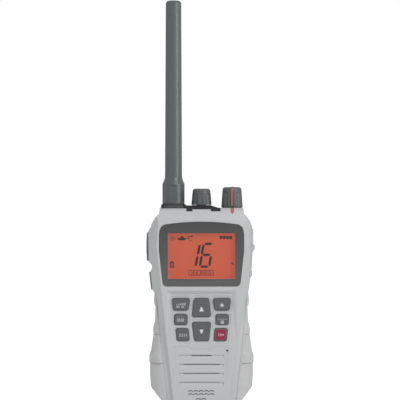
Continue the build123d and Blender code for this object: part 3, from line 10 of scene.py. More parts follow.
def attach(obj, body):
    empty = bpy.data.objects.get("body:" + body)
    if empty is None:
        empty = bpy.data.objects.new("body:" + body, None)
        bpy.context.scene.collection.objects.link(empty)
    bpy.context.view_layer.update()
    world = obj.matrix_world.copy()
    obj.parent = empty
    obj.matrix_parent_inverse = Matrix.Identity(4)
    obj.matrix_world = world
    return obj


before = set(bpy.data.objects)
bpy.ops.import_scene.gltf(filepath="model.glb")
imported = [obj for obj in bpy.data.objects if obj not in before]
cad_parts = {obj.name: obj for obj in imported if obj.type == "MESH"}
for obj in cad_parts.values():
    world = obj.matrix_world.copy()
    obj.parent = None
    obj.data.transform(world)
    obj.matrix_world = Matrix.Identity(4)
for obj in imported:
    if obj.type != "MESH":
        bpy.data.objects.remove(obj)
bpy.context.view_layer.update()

MM = 0.001

# Places on the radio in millimetres, with X to the right, the front at -Y and Z upwards.
PANEL_Y = -21.8          # face of the front panel
KEY_Y = -22.2            # face of the keys
LCD_Y = -18.0            # face of the display glass
WINDOW_Z = 99.1          # height of the middle of the display's window
WINDOW_HALF = (21.5, 14.6)   # half of the window's width and height
ROOF = 130.0             # top of the case
BRINK_Y = -15.3          # where the roof starts to round off at the front
SEAT_FRONT = -12.7       # front edge of the black plate's seat in the roof
PLATE_TOP = 131.5        # top of the black plate
SHEEN_X = -18.0         # middle of the painted sheen on the plate's front at the antenna's foot
SHEEN_HALF = 6.5        # half of the painted sheen's width
SHEEN_BACK = -2.0       # where the painted sheen ends towards the back
SQUELCH_X = 19.8         # axis of the squelch knob

INK = 0.01               # thickness of a printed mark
PAINT = 0.02             # thickness of a mark painted on the case
MARK_GAP = 0.03          # how far a mark stands off a face that isn't flat
LIP_FACES = (0.01, 0.06)     # how far the two faces of a lip stand off the case


# ---------------------------------------------------------------- node trees
def feed(tree, node, inputs):
    """Give inputs of a node their values, or the sockets that feed them."""
    for key, value in inputs.items():
        if isinstance(value, bpy.types.NodeSocket):
            tree.links.new(value, node.inputs[key])
        else:
            node.inputs[key].default_value = value


def put(tree, kind, inputs=None, **settings):
    """Add a node with its settings and inputs."""
    node = tree.nodes.new(kind)
    for key, value in settings.items():
        setattr(node, key, value)
    feed(tree, node, inputs or {})
    return node


def maths(tree, operation, a, b=0.0, clamp=False):
    """Add a Math node and return its result."""
    return put(tree, "ShaderNodeMath", {0: a, 1: b}, operation=operation,
               use_clamp=clamp).outputs[0]


def times(tree, a, b):
    """Multiply two values."""
    return maths(tree, "MULTIPLY", a, b)


def apart(tree, value, centre):
    """How far a value is from a centre, either way."""
    return maths(tree, "ABSOLUTE", maths(tree, "SUBTRACT", value, centre))


def ramp(tree, value, low, high, to_low=0.0, to_high=1.0):
    """Spread a value from one range onto another, held at its ends."""
    return put(tree, "ShaderNodeMapRange", {"Value": value, "From Min": low, "From Max": high,
                                            "To Min": to_low, "To Max": to_high}).outputs[0]


def tint(tree, share, a, b, blend="MIX"):
    """Mix two colours by a share."""
    return put(tree, "ShaderNodeMix", {0: share, 6: a, 7: b}, data_type="RGBA",
               blend_type=blend).outputs[2]


def spot(tree):
    """The place of the shaded point, in the radio's own coordinates."""
    return put(tree, "ShaderNodeTexCoord").outputs["Object"]


def axes_of(tree, vector):
    """The x, y and z of a vector."""
    return put(tree, "ShaderNodeSeparateXYZ", {"Vector": vector}).outputs


def stretched(tree, vector, scale, turn=(0.0, 0.0, 0.0)):
    """Turn and stretch coordinates."""
    return put(tree, "ShaderNodeMapping", {"Vector": vector, "Rotation": turn,
                                           "Scale": scale}).outputs[0]


def noise(tree, vector, scale, detail=2.0, roughness=0.5, distortion=0.0):
    """Add a noise texture and return its value."""
    return put(tree, "ShaderNodeTexNoise",
               {"Vector": vector, "Scale": scale, "Detail": detail, "Roughness": roughness,
                "Distortion": distortion}).outputs[0]


def emboss(tree, shader, height, strength, depth, **under):
    """Let a height shape a shader's normal, to a depth in millimetres."""
    bump = put(tree, "ShaderNodeBump",
               {"Strength": strength, "Distance": depth * MM, "Height": height, **under})
    feed(tree, shader, {"Normal": bump.outputs[0]})


def group(name, inputs, outputs):
    """Start a node group. Return its tree, the sockets of its inputs and its output node."""
    tree = bpy.data.node_groups.new(name, "ShaderNodeTree")
    for label, default in inputs.items():
        socket = tree.interface.new_socket(label, in_out="INPUT", socket_type="NodeSocketFloat")
        socket.default_value = default
    for label, kind in outputs.items():
        tree.interface.new_socket(label, in_out="OUTPUT", socket_type="NodeSocket" + kind)
    return tree, tree.nodes.new("NodeGroupInput").outputs, tree.nodes.new("NodeGroupOutput")


def place(tree, name, **inputs):
    """Place a node group in a tree and return its outputs."""
    return put(tree, "ShaderNodeGroup", inputs, node_tree=bpy.data.node_groups[name]).outputs


def moulded_grain():
    """Spark-eroded texture of a mould, as a height and as fine flecks."""
    tree, given, result = group("moulded grain", {"Size": 0.35},
                                {"Height": "Float", "Fleck": "Float"})
    here = spot(tree)
    scale = maths(tree, "DIVIDE", 1000.0, given["Size"])
    pits = put(tree, "ShaderNodeTexVoronoi", {"Vector": here, "Scale": scale, "Smoothness": 0.6},
               feature="SMOOTH_F1").outputs["Distance"]
    rough = noise(tree, here, times(tree, scale, 0.6), 4.0, 0.6)
    height = maths(tree, "ADD", times(tree, pits, 0.55), times(tree, rough, 0.6))
    feed(tree, result, {"Height": height, "Fleck": ramp(tree, rough, 0.35, 0.65)})


def soft_edges():
    """Rounds sharp edges in the shading, and marks where they are worn."""
    tree, given, result = group("soft edges", {"Radius": 0.0003, "Break": 400.0},
                                {"Normal": "Vector", "Worn": "Float"})
    rounded = put(tree, "ShaderNodeBevel", {"Radius": given["Radius"]}, samples=6).outputs[0]
    flat = put(tree, "ShaderNodeNewGeometry").outputs["Normal"]
    agreement = put(tree, "ShaderNodeVectorMath", {0: rounded, 1: flat},
                    operation="DOT_PRODUCT").outputs["Value"]
    edge = ramp(tree, agreement, 0.995, 0.86)
    broken = ramp(tree, noise(tree, spot(tree), given["Break"], 4.0, 0.65), 0.42, 0.62)
    feed(tree, result, {"Normal": rounded, "Worn": times(tree, edge, broken)})


def nook_dust_and_shade():
    """Marks the nooks by ambient occlusion: dust and salt settle there, and painted shade is put
    there.
    """
    tree, given, result = group("nook dust and shade", {"Reach": 0.0015}, {"Mask": "Float"})
    shade = put(tree, "ShaderNodeAmbientOcclusion", {"Distance": given["Reach"]}, samples=6,
                only_local=False).outputs["AO"]
    nook = ramp(tree, shade, 0.85, 0.35)
    uneven = ramp(tree, noise(tree, spot(tree), 260.0, 5.0, 0.7), 0.3, 0.7, 0.45, 1.0)
    feed(tree, result, {"Mask": times(tree, nook, uneven)})


def handling():
    """Slow clouds of colour, smears left by hands, and hair scratches."""
    tree, given, result = group("handling", {"Size": 22.0},
                                {"Cloud": "Float", "Smear": "Float", "Scratch": "Float"})
    here = spot(tree)
    scale = maths(tree, "DIVIDE", 1000.0, given["Size"])
    cloud = noise(tree, here, scale, 3.0, 0.55)
    wiped = stretched(tree, here, (1.0, 1.0, 3.4), (0.3, 0.5, 0.9))
    smear = ramp(tree, noise(tree, wiped, times(tree, scale, 1.7), 4.0, 0.6, 0.8), 0.35, 0.7)
    drawn = stretched(tree, here, (1.0, 26.0, 26.0), (0.4, 1.1, 0.6))
    hairs = ramp(tree, noise(tree, drawn, times(tree, scale, 2.0), 2.0, 0.5), 0.70, 0.76)
    rubbed = ramp(tree, noise(tree, here, times(tree, scale, 1.3), 1.0, 0.5), 0.5, 0.62)
    feed(tree, result, {"Cloud": cloud, "Smear": smear, "Scratch": times(tree, hairs, rubbed)})


for build in (moulded_grain, soft_edges, nook_dust_and_shade, handling):
    build()


# ---------------------------------------------------------------- finishes
FINISHES = {}            # every finish by its name


def srgb(red, green, blue):
    """A colour from its 0-255 screen values."""
    def linear(c):
        c /= 255
        return c / 12.92 if c <= 0.04045 else ((c + 0.055) / 1.055) ** 2.4
    return (linear(red), linear(green), linear(blue), 1.0)


def scaled(colour, factor):
    """A colour made lighter or darker."""
    return tuple(min(1.0, c * factor) for c in colour[:3]) + (1.0,)


def new_finish(name):
    """Start a finish. Return its node tree and its shader."""
    material = FINISHES[name] = bpy.data.materials.new(name)
    material.use_nodes = True
    tree = material.node_tree
    return tree, tree.nodes["Principled BSDF"]


def mixed_surface(tree, share, first, second):
    """Make the surface a mix of two shaders."""
    both = put(tree, "ShaderNodeMixShader", {0: share, 1: first.outputs[0], 2: second.outputs[0]})
    feed(tree, tree.nodes["Material Output"], {"Surface": both.outputs[0]})


def antenna_foot_sheen(tree):
    """Marks a painted sheen, a lighter grey on the plate's front around the antenna's foot, but not
    on the plate's top.
    """
    x, y, z = axes_of(tree, spot(tree))
    across = apart(tree, x, SHEEN_X * MM)
    inside = ramp(tree, across, SHEEN_HALF * MM, (SHEEN_HALF - 0.4) * MM)
    in_front = maths(tree, "LESS_THAN", y, SHEEN_BACK * MM)
    over_roof = maths(tree, "GREATER_THAN", z, (ROOF - 0.1) * MM)
    off_plate_top = maths(tree, "GREATER_THAN", apart(tree, z, PLATE_TOP * MM), 0.02 * MM)
    return times(tree, times(tree, inside, in_front), times(tree, over_roof, off_plate_top))


def rib_shade_line(tree, height):
    """Marks where a painted shade line goes under a rib, at a height in millimetres."""
    here = spot(tree)
    away = apart(tree, axes_of(tree, here)[2], height * MM)
    uneven = ramp(tree, noise(tree, here, 160.0, 3.0, 0.6), 0.3, 0.6, 0.5, 1.0)
    return times(tree, ramp(tree, away, 0.55 * MM, 0.1 * MM), uneven)


def moulded(name, colour, roughness, *, grain, depth, edge, worn, wear, dust_and_shade_tone, dust_and_shade_share, cloud,
            specular=0.5, upward_shade=None, painted_sheen=None, rib_shade_heights=()):
    """A moulded finish with grain, softened and worn edges, dust and painted shade in nooks, and
    marks of handling.

    In millimetres, grain is the size of the texture, depth is how deep it goes and edge is the
    radius that edges seem to have. The colour is scaled by worn on edges, to the share wear, and by
    a tone in nooks found by ambient occlusion, to its share: below one that tone is painted shade,
    above one it is lighter dust. It drifts by cloud. The upward shade, if given, is painted shade
    that darkens the colour upwards, from one height to another and by a factor. The painted sheen,
    if given, is the grey of a painted sheen on the plate's front at the antenna's foot, and the rib
    heights are where painted shade lines under ribs go.
    """
    tree, shader = new_finish(name)
    texture = place(tree, "moulded grain", Size=grain)
    edges = place(tree, "soft edges", Radius=edge * MM, Break=500.0)
    dust_and_shade = place(tree, "nook dust and shade", Reach=1.5 * MM)["Mask"]
    hands = place(tree, "handling")

    base = tint(tree, hands["Cloud"], scaled(colour, 1 - cloud), scaled(colour, 1 + cloud))
    if painted_sheen is not None:
        base = tint(tree, antenna_foot_sheen(tree), base, painted_sheen)
    base = tint(tree, times(tree, texture["Fleck"], 0.10), base, scaled(colour, 0.72))
    base = tint(tree, times(tree, edges["Worn"], wear), base, scaled(colour, worn))
    # Nooks: painted shade where the tone is below one, lighter dust where it is above one.
    base = tint(tree, times(tree, dust_and_shade, dust_and_shade_share), base, scaled(colour, dust_and_shade_tone))
    # Painted shade lines under the ribs.
    for height in rib_shade_heights:
        base = tint(tree, times(tree, rib_shade_line(tree, height), 0.7), base, scaled(colour, dust_and_shade_tone))
    # Painted shade: the colour darkened upwards between two heights.
    if upward_shade is not None:
        low, high, factor = upward_shade
        share = ramp(tree, axes_of(tree, spot(tree))[2], low * MM, high * MM)
        base = tint(tree, share, base, (factor, factor, factor, 1.0), "MULTIPLY")

    matt = ramp(tree, hands["Smear"], 0.0, 1.0, roughness, roughness + 0.10)
    matt = maths(tree, "ADD", matt, times(tree, hands["Scratch"], 0.12))
    matt = maths(tree, "SUBTRACT", matt, times(tree, edges["Worn"], 0.10))
    matt = maths(tree, "ADD", matt, times(tree, dust_and_shade, 0.15), clamp=True)
    feed(tree, shader, {"Base Color": base, "Roughness": matt, "Specular IOR Level": specular})
    height = maths(tree, "SUBTRACT", texture["Height"], times(tree, hands["Scratch"], 0.5))
    emboss(tree, shader, height, 1.0, depth, Normal=edges["Normal"])


def glowing_display():
    """Orange back-lit display glass: brighter at its rim, with the faint grid of its electrodes."""
    tree, shader = new_finish("orange_display")
    here = spot(tree)
    x, _, z = axes_of(tree, here)
    half_width, half_height = WINDOW_HALF
    across = maths(tree, "ABSOLUTE", maths(tree, "DIVIDE", x, half_width * MM))
    up = maths(tree, "DIVIDE", maths(tree, "SUBTRACT", z, WINDOW_Z * MM), half_height * MM)
    outward = maths(tree, "MAXIMUM", across, maths(tree, "ABSOLUTE", up))
    rim = maths(tree, "POWER", ramp(tree, outward, 0.72, 1.0), 2.0)
    uneven = ramp(tree, noise(tree, here, 90.0, 2.0, 0.5), 0.3, 0.7, -0.5, 0.5)
    grid = put(tree, "ShaderNodeTexWave", {"Vector": here, "Scale": 420.0, "Distortion": 0.0},
               bands_direction="X").outputs["Fac"]
    glow = tint(tree, rim, srgb(186, 80, 51), srgb(192, 81, 53))
    glow = tint(tree, times(tree, grid, 0.05), glow, srgb(150, 60, 46))
    clouds = times(tree, maths(tree, "ABSOLUTE", uneven), 0.22)
    glow = tint(tree, clouds, glow, srgb(204, 84, 72))
    feed(tree, shader, {"Base Color": tint(tree, 0.35, glow, (0.02, 0.01, 0.01, 1.0), "MULTIPLY"),
                        "Roughness": ramp(tree, uneven, -0.5, 0.5, 0.30, 0.42),
                        "Specular IOR Level": 0.1,
                        "Emission Color": glow, "Emission Strength": 0.57})


def clear_window():
    """Clear acrylic that lets light through to the display, with wipe marks in its gloss."""
    tree, shader = new_finish("clear_acrylic")
    hands = place(tree, "handling", Size=14.0)
    smeared = ramp(tree, hands["Smear"], 0.0, 1.0, 0.015, 0.045)
    feed(tree, shader, {
        "Base Color": tint(tree, hands["Smear"], (0.985, 0.985, 0.985, 1.0), (1.0, 1.0, 1.0, 1.0)),
        "Roughness": maths(tree, "ADD", smeared, times(tree, hands["Scratch"], 0.04)),
        "Transmission Weight": 1.0, "IOR": 1.49, "Specular IOR Level": 0.35})
    rays = put(tree, "ShaderNodeLightPath").outputs
    share = maths(tree, "MAXIMUM", rays["Is Shadow Ray"], rays["Is Diffuse Ray"])
    mixed_surface(tree, share, shader, put(tree, "ShaderNodeBsdfTransparent"))


def ink(name, colour, roughness=0.45, uneven=0.08, specular=0.5):
    """A printed ink whose cover is slightly uneven."""
    tree, shader = new_finish(name)
    cover = noise(tree, spot(tree), 1800.0, 4.0, 0.6)
    feed(tree, shader, {
        "Base Color": tint(tree, cover, scaled(colour, 1 - uneven), scaled(colour, 1 + uneven)),
        "Roughness": ramp(tree, cover, 0.3, 0.7, roughness, roughness + 0.12),
        "Specular IOR Level": specular})
    emboss(tree, shader, cover, 0.4, 0.01)


def brushed(name, colour, roughness, stretch=(1.0, 1.0, 40.0)):
    """Bare or plated metal with fine lathe or brush lines, packed close along the stretch."""
    tree, shader = new_finish(name)
    lines = noise(tree, stretched(tree, spot(tree), stretch), 600.0, 4.0, 0.7)
    edges = place(tree, "soft edges", Radius=0.12 * MM, Break=900.0)
    dust_and_shade = place(tree, "nook dust and shade", Reach=0.8 * MM)["Mask"]
    shade = tint(tree, lines, scaled(colour, 0.86), scaled(colour, 1.08))
    # Painted shade: metal darkened in nooks.
    shade = tint(tree, times(tree, dust_and_shade, 0.6), shade, scaled(colour, 0.35))
    matt = ramp(tree, lines, 0.3, 0.7, roughness, roughness + 0.15)
    matt = maths(tree, "ADD", matt, times(tree, dust_and_shade, 0.2))
    feed(tree, shader, {"Base Color": shade, "Roughness": matt, "Metallic": 1.0})
    emboss(tree, shader, lines, 0.5, 0.01, Normal=edges["Normal"])


def circuit_board():
    """Green solder mask over copper runs, on glass cloth."""
    tree, shader = new_finish("circuit_board")
    here = spot(tree)
    runs = put(tree, "ShaderNodeTexBrick", {"Vector": here, "Scale": 420.0, "Mortar Size": 0.035},
               offset=0.37).outputs["Fac"]
    cloth = put(tree, "ShaderNodeTexWave",
                {"Vector": here, "Scale": 900.0, "Distortion": 0.6}).outputs["Fac"]
    shade = tint(tree, runs, srgb(16, 74, 40), srgb(34, 112, 60))
    shade = tint(tree, times(tree, cloth, 0.12), shade, srgb(60, 120, 70))
    feed(tree, shader, {"Base Color": shade, "Roughness": ramp(tree, cloth, 0.0, 1.0, 0.28, 0.4)})
    emboss(tree, shader, runs, 0.5, 0.03)


def pulp_cone():
    """Pressed paper fibre of a loudspeaker cone."""
    tree, shader = new_finish("pulp_cone")
    drawn = stretched(tree, spot(tree), (1.0, 4.0, 1.0))
    fibre = noise(tree, drawn, 1400.0, 5.0, 0.75, 1.5)
    feed(tree, shader, {"Base Color": tint(tree, fibre, srgb(22, 22, 23), srgb(52, 51, 50)),
                        "Roughness": ramp(tree, fibre, 0.3, 0.7, 0.75, 0.95)})
    emboss(tree, shader, fibre, 0.8, 0.05)


def backlight():
    """White diffuser sheet behind the display, lit from its edge."""
    tree, shader = new_finish("diffuser_sheet")
    dots = put(tree, "ShaderNodeTexVoronoi",
               {"Vector": spot(tree), "Scale": 900.0}).outputs["Distance"]
    glow = tint(tree, ramp(tree, dots, 0.1, 0.5), srgb(255, 206, 170), srgb(255, 150, 110))
    feed(tree, shader, {"Base Color": glow, "Roughness": ramp(tree, dots, 0.0, 0.5, 0.4, 0.6),
                        "Emission Color": glow, "Emission Strength": 0.5})


CASE = srgb(196, 197, 197)
PLATE = srgb(32, 33, 34)
# Grey of a painted sheen on the plate's front at the antenna's foot.
SHEEN_GREY = srgb(84, 86, 86)

moulded("case_plastic", CASE, 0.44, grain=0.32, depth=0.018, edge=0.50,
        worn=1.06, wear=0.5, dust_and_shade_tone=0.72, dust_and_shade_share=0.45, cloud=0.018)
moulded("door_plastic", scaled(CASE, 0.99), 0.46, grain=0.32, depth=0.020, edge=0.25,
        worn=1.10, wear=0.5, dust_and_shade_tone=0.70, dust_and_shade_share=0.5, cloud=0.02)
# Grip: painted shade lines under the ribs at these heights.
moulded("grip_rubber", srgb(198, 198, 197), 0.62, grain=0.22, depth=0.030, edge=0.35,
        worn=1.08, wear=0.4, dust_and_shade_tone=0.66, dust_and_shade_share=0.6, cloud=0.03, specular=0.35,
        rib_shade_heights=(48.6, 30.3))
# Bezel: painted shade, darker towards its top.
moulded("bezel_plastic", srgb(92, 91, 91), 0.34, grain=0.18, depth=0.004, edge=0.18,
        worn=1.5, wear=0.4, dust_and_shade_tone=0.7, dust_and_shade_share=0.3, cloud=0.05, upward_shade=(82.0, 120.0, 0.62))
moulded("key_rubber", srgb(93, 95, 96), 0.46, grain=0.16, depth=0.012, edge=0.55,
        worn=1.7, wear=0.55, dust_and_shade_tone=0.6, dust_and_shade_share=0.5, cloud=0.04)
moulded("red_key", srgb(150, 36, 72), 0.42, grain=0.16, depth=0.010, edge=0.20,
        worn=1.3, wear=0.3, dust_and_shade_tone=0.6, dust_and_shade_share=0.4, cloud=0.04)
moulded("antenna_rubber", srgb(90, 93, 93), 0.31, grain=0.28, depth=0.014, edge=0.35,
        worn=1.25, wear=0.35, dust_and_shade_tone=0.75, dust_and_shade_share=0.4, cloud=0.05, specular=0.65)
moulded("knob_plastic", srgb(92, 95, 95), 0.33, grain=0.20, depth=0.012, edge=0.25,
        worn=1.35, wear=0.45, dust_and_shade_tone=0.6, dust_and_shade_share=0.5, cloud=0.04)
moulded("pointer_plastic", srgb(168, 100, 94), 0.40, grain=0.20, depth=0.010, edge=0.15,
        worn=1.2, wear=0.4, dust_and_shade_tone=0.6, dust_and_shade_share=0.4, cloud=0.04)
# Plate: a painted sheen of lighter grey in front of the antenna's foot.
moulded("plate_plastic", PLATE, 0.48, grain=0.25, depth=0.018, edge=0.20,
        worn=1.5, wear=0.3, dust_and_shade_tone=1.3, dust_and_shade_share=0.2, cloud=0.06, painted_sheen=SHEEN_GREY)
moulded("black_plastic", srgb(34, 35, 36), 0.45, grain=0.25, depth=0.015, edge=0.15,
        worn=1.8, wear=0.3, dust_and_shade_tone=1.8, dust_and_shade_share=0.3, cloud=0.06)
moulded("button_rubber", srgb(58, 62, 61), 0.52, grain=0.22, depth=0.022, edge=0.35,
        worn=1.5, wear=0.45, dust_and_shade_tone=1.4, dust_and_shade_share=0.3, cloud=0.05, specular=0.4)
moulded("seal_rubber", srgb(26, 26, 27), 0.66, grain=0.20, depth=0.012, edge=0.10,
        worn=1.4, wear=0.2, dust_and_shade_tone=2.2, dust_and_shade_share=0.4, cloud=0.08, specular=0.3)
# Washer: the same painted sheen in front of the antenna's foot.
moulded("washer_rubber", srgb(28, 28, 29), 0.60, grain=0.20, depth=0.012, edge=0.10,
        worn=1.4, wear=0.2, dust_and_shade_tone=1.6, dust_and_shade_share=0.3, cloud=0.08, specular=0.3, painted_sheen=SHEEN_GREY)
moulded("talk_rubber", srgb(128, 133, 130), 0.52, grain=0.22, depth=0.022, edge=0.35,
        worn=1.3, wear=0.4, dust_and_shade_tone=0.7, dust_and_shade_share=0.3, cloud=0.05, specular=0.4)
moulded("cover_rubber", srgb(200, 200, 199), 0.56, grain=0.24, depth=0.024, edge=0.30,
        worn=1.06, wear=0.4, dust_and_shade_tone=0.8, dust_and_shade_share=0.4, cloud=0.02, specular=0.4)
moulded("battery_wrap", srgb(38, 39, 41), 0.36, grain=0.5, depth=0.010, edge=0.3,
        worn=1.6, wear=0.3, dust_and_shade_tone=1.8, dust_and_shade_share=0.3, cloud=0.08)
brushed("steel", srgb(176, 177, 178), 0.26)
brushed("tin", srgb(196, 197, 196), 0.34, (40.0, 1.0, 1.0))
brushed("brass", srgb(206, 168, 96), 0.24)
circuit_board()
pulp_cone()
glowing_display()
clear_window()
backlight()
ink("segment_ink", srgb(46, 16, 5), 0.5, 0.10, 0.1)
ink("ghost_ink", srgb(104, 32, 20), 0.5, 0.12, 0.1)
ink("legend_ink", srgb(214, 216, 214))
ink("faint_legend_ink", srgb(178, 181, 180))
ink("pink_legend_ink", srgb(226, 176, 190))
ink("red_ink", srgb(184, 100, 98), 0.4)
ink("grey_ink", srgb(104, 106, 106))
ink("black_paint", PLATE, 0.5)
# Ink in the grey of the painted sheen, for the lip in front of the antenna's foot.
ink("sheen_grey_paint", SHEEN_GREY, 0.5)

WEARS = {
    "case_plastic": ["front_cover", "rear_cover"],
    "door_plastic": ["battery_door"],
    "grip_rubber": ["right_grip", "left_grip"],
    "cover_rubber": ["jack_cover"],
    "bezel_plastic": ["display_bezel"],
    "key_rubber": ["key_power_level", "key_watch", "key_scan", "key_up", "key_down", "key_light",
                   "key_lock", "key_sixteen"],
    "red_key": ["sixteen_face"],
    "antenna_rubber": ["antenna_sheath"],
    "knob_plastic": ["volume_knob", "squelch_knob"],
    "pointer_plastic": ["squelch_pointer"],
    "plate_plastic": ["top_plate"],
    "black_plastic": ["lcd_frame", "jacks", "side_switches"],
    "talk_rubber": ["talk_button", "side_button"],
    "button_rubber": ["door_latch", "clip_base", "clip_arm"],
    "seal_rubber": ["case_seal", "display_gasket", "keypad_mat", "speaker_membrane", "mic_boot",
                    "door_seal"],
    "washer_rubber": ["top_seals"],
    "battery_wrap": ["battery_pack"],
    "steel": ["board_screws", "speaker_frame", "rotary_controls", "control_nuts", "volume_shaft",
              "squelch_shaft", "antenna_core", "case_screws", "turning_pins", "clip_spring",
              "clip_screws"],
    "tin": ["shield_cans", "microphone"],
    "brass": ["contacts", "antenna_connector", "antenna_socket"],
    "circuit_board": ["main_board", "side_board"],
    "pulp_cone": ["speaker_cone"],
    "orange_display": ["lcd_panel"],
    "clear_acrylic": ["display_window"],
    "diffuser_sheet": ["lcd_backlight"],
}

for finish, names in WEARS.items():
    for name in names:
        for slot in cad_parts[name].material_slots:
            slot.material = FINISHES[finish]


# ---------------------------------------------------------------- making pieces
def blank():
    """An empty mesh. A mark is drawn in one in millimetres, with x across and y up."""
    return bmesh.new()


def in_metres(bm):
    """Bring a mesh from millimetres to metres."""
    bmesh.ops.scale(bm, vec=(MM, MM, MM), verts=bm.verts)


def extruded(bm, faces):
    """Extrude faces and return the new vertices, which are still in place."""
    result = bmesh.ops.extrude_face_region(bm, geom=faces)
    return [v for v in result["geom"] if isinstance(v, bmesh.types.BMVert)]


def new_object(name, bm):
    """Make an object from a mesh and put it in the scene."""
    mesh = bpy.data.meshes.new(name)
    bm.to_mesh(mesh)
    bm.free()
    made = bpy.data.objects.new(name, mesh)
    bpy.context.scene.collection.objects.link(made)
    return made


def add_piece(name, bm, finish, body):
    """Make a piece from a closed mesh in metres, and let it ride on a body."""
    bmesh.ops.recalc_face_normals(bm, faces=bm.faces)
    piece = new_object(name, bm)
    piece.data.materials.append(FINISHES[finish])
    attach(piece, body)


def surface_of(name):
    """The surface of a CAD node, to cast rays at."""
    return BVHTree.FromObject(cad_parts[name], bpy.context.evaluated_depsgraph_get())


def seen_from_front(surface, x, z):
    """Where a ray from the front meets a surface, and the surface's normal there, in metres."""
    return surface.ray_cast(Vector((x, -0.1, z)), Vector((0, 1, 0)))[:2]


# ---------------------------------------------------------------- making printed marks
def join(mark, part, move=(0.0, 0.0)):
    """Move a drawn part into place and add it to a mark."""
    bmesh.ops.translate(part, vec=(*move, 0.0), verts=part.verts)
    mesh = bpy.data.meshes.new("part")
    part.to_mesh(mesh)
    part.free()
    mark.from_mesh(mesh)
    bpy.data.meshes.remove(mesh)


def patch(points):
    """A flat patch with the corners given."""
    part = blank()
    part.faces.new([part.verts.new((x, y, 0)) for x, y in points])
    return part


def turn_flat(part, verts, angle):
    """Turn vertices of a flat drawing about its origin."""
    bmesh.ops.rotate(part, cent=(0, 0, 0), matrix=Matrix.Rotation(angle, 3, "Z"), verts=verts)


def bar(length, width, tip, turn=0.0):
    """A bar along x, or turned. Each pointed end is as long as tip times the width."""
    end, side = length / 2, width / 2
    neck = end - width * tip
    part = patch([(-end, 0), (-neck, -side), (neck, -side), (end, 0), (neck, side), (-neck, side)])
    turn_flat(part, part.verts, turn)
    return part


def disc(radius, segments=20):
    """A round dot."""
    part = blank()
    bmesh.ops.create_circle(part, cap_ends=True, segments=segments, radius=radius)
    return part


def ring(radius, width, start=0.0, end=360.0, steps=24):
    """A ring or a piece of one, as a line of even width."""
    part = blank()
    a = part.verts.new((radius - width / 2, 0, 0))
    b = part.verts.new((radius + width / 2, 0, 0))
    edge = part.edges.new((a, b))
    turn_flat(part, [a, b], math.radians(start))
    bmesh.ops.spin(part, geom=[a, b, edge], cent=(0, 0, 0), axis=(0, 0, 1), dvec=(0, 0, 0),
                   angle=math.radians(end - start), steps=steps, use_merge=(end - start == 360.0))
    bmesh.ops.remove_doubles(part, verts=part.verts, dist=1e-5)
    return part


def frame_box(width, height, line):
    """The outline of a box, drawn with a line."""
    part = blank()
    bmesh.ops.create_grid(part, x_segments=1, y_segments=1, size=0.5)
    bmesh.ops.scale(part, vec=(width, height, 1), verts=part.verts)
    bmesh.ops.inset_region(part, faces=part.faces[:], thickness=line, use_boundary=True)
    middle = min(part.faces, key=lambda f: f.calc_center_median().length)
    bmesh.ops.delete(part, geom=[middle], context="FACES")
    return part


def numerals(text, height, slant):
    """Plain numerals, centred, as flat faces."""
    curve = bpy.data.curves.new("numerals", "FONT")
    curve.body = text
    curve.size = height / 0.7        # a numeral is 0.7 of its type size tall
    curve.shear = slant
    curve.align_x = curve.align_y = "CENTER"
    curve.offset = height * 0.02     # a little bolder
    holder = bpy.data.objects.new("numerals", curve)
    mesh = bpy.data.meshes.new_from_object(holder)
    part = blank()
    part.from_mesh(mesh)
    bpy.data.objects.remove(holder)
    bpy.data.curves.remove(curve)
    bpy.data.meshes.remove(mesh)
    return part


def lay_on(mark, surface):
    """Lay a mark that stands flat at zero depth just clear of a surface, keeping its thickness."""
    for v in mark.verts:
        hit = seen_from_front(surface, v.co.x, v.co.z)[0]
        if hit is not None:
            v.co.y += hit.y - MARK_GAP * MM


def printed(name, mark, finish, body, y=None, thickness=INK, over=None, at=(0.0, 0.0)):
    """Stand a drawn mark up facing the front, moved by at, and give it its thickness.

    It is put at depth y, or laid on the CAD node named by over.
    """
    bmesh.ops.remove_doubles(mark, verts=mark.verts, dist=1e-5)
    bmesh.ops.recalc_face_normals(mark, faces=mark.faces)
    for face in mark.faces:
        if face.normal.z < 0:
            face.normal_flip()
    bmesh.ops.translate(mark, vec=(0, 0, thickness), verts=extruded(mark, mark.faces[:]))
    stand = Matrix(((1, 0, 0, at[0]), (0, 0, -1, 0), (0, 1, 0, at[1]), (0, 0, 0, 1)))
    bmesh.ops.transform(mark, matrix=stand, verts=mark.verts)
    in_metres(mark)
    if over is None:
        bmesh.ops.translate(mark, vec=(0, y * MM, 0), verts=mark.verts)
    else:
        lay_on(mark, surface_of(over))
    add_piece(name, mark, finish, body)


# ---------------------------------------------------------------- what the display shows
DIGIT_WIDTH = 6.0        # from the middle of a numeral's left strokes to that of its right ones
DIGIT_HEIGHT = 14.6      # from the middle of its bottom stroke to that of its top one
DIGIT_Z = 99.6           # height of its middle
STROKE = 1.6             # width of a stroke


def seven_segments(shown, slant):
    """One numeral of the display, from the segments that are on."""
    side, top = DIGIT_WIDTH / 2, DIGIT_HEIGHT / 2
    tall, wide = top - 0.8, DIGIT_WIDTH - 1.1
    spots = {"a": (0, top, 0), "g": (0, 0.25, 0), "d": (0, -top, 0),
             "f": (-side, top / 2, 1), "e": (-side, -top / 2, 1),
             "b": (side, top / 2, 1), "c": (side, -top / 2, 1)}
    numeral = blank()
    for letter in shown:
        x, y, upright = spots[letter]
        stroke = bar(tall if upright else wide, STROKE, 0.35, math.pi / 2 if upright else 0.0)
        join(numeral, stroke, (x, y))
    lean = Matrix(((1, slant, 0, 0), (0, 1, 0, 0), (0, 0, 1, 0), (0, 0, 0, 1)))
    bmesh.ops.transform(numeral, matrix=lean, verts=numeral.verts)
    return numeral


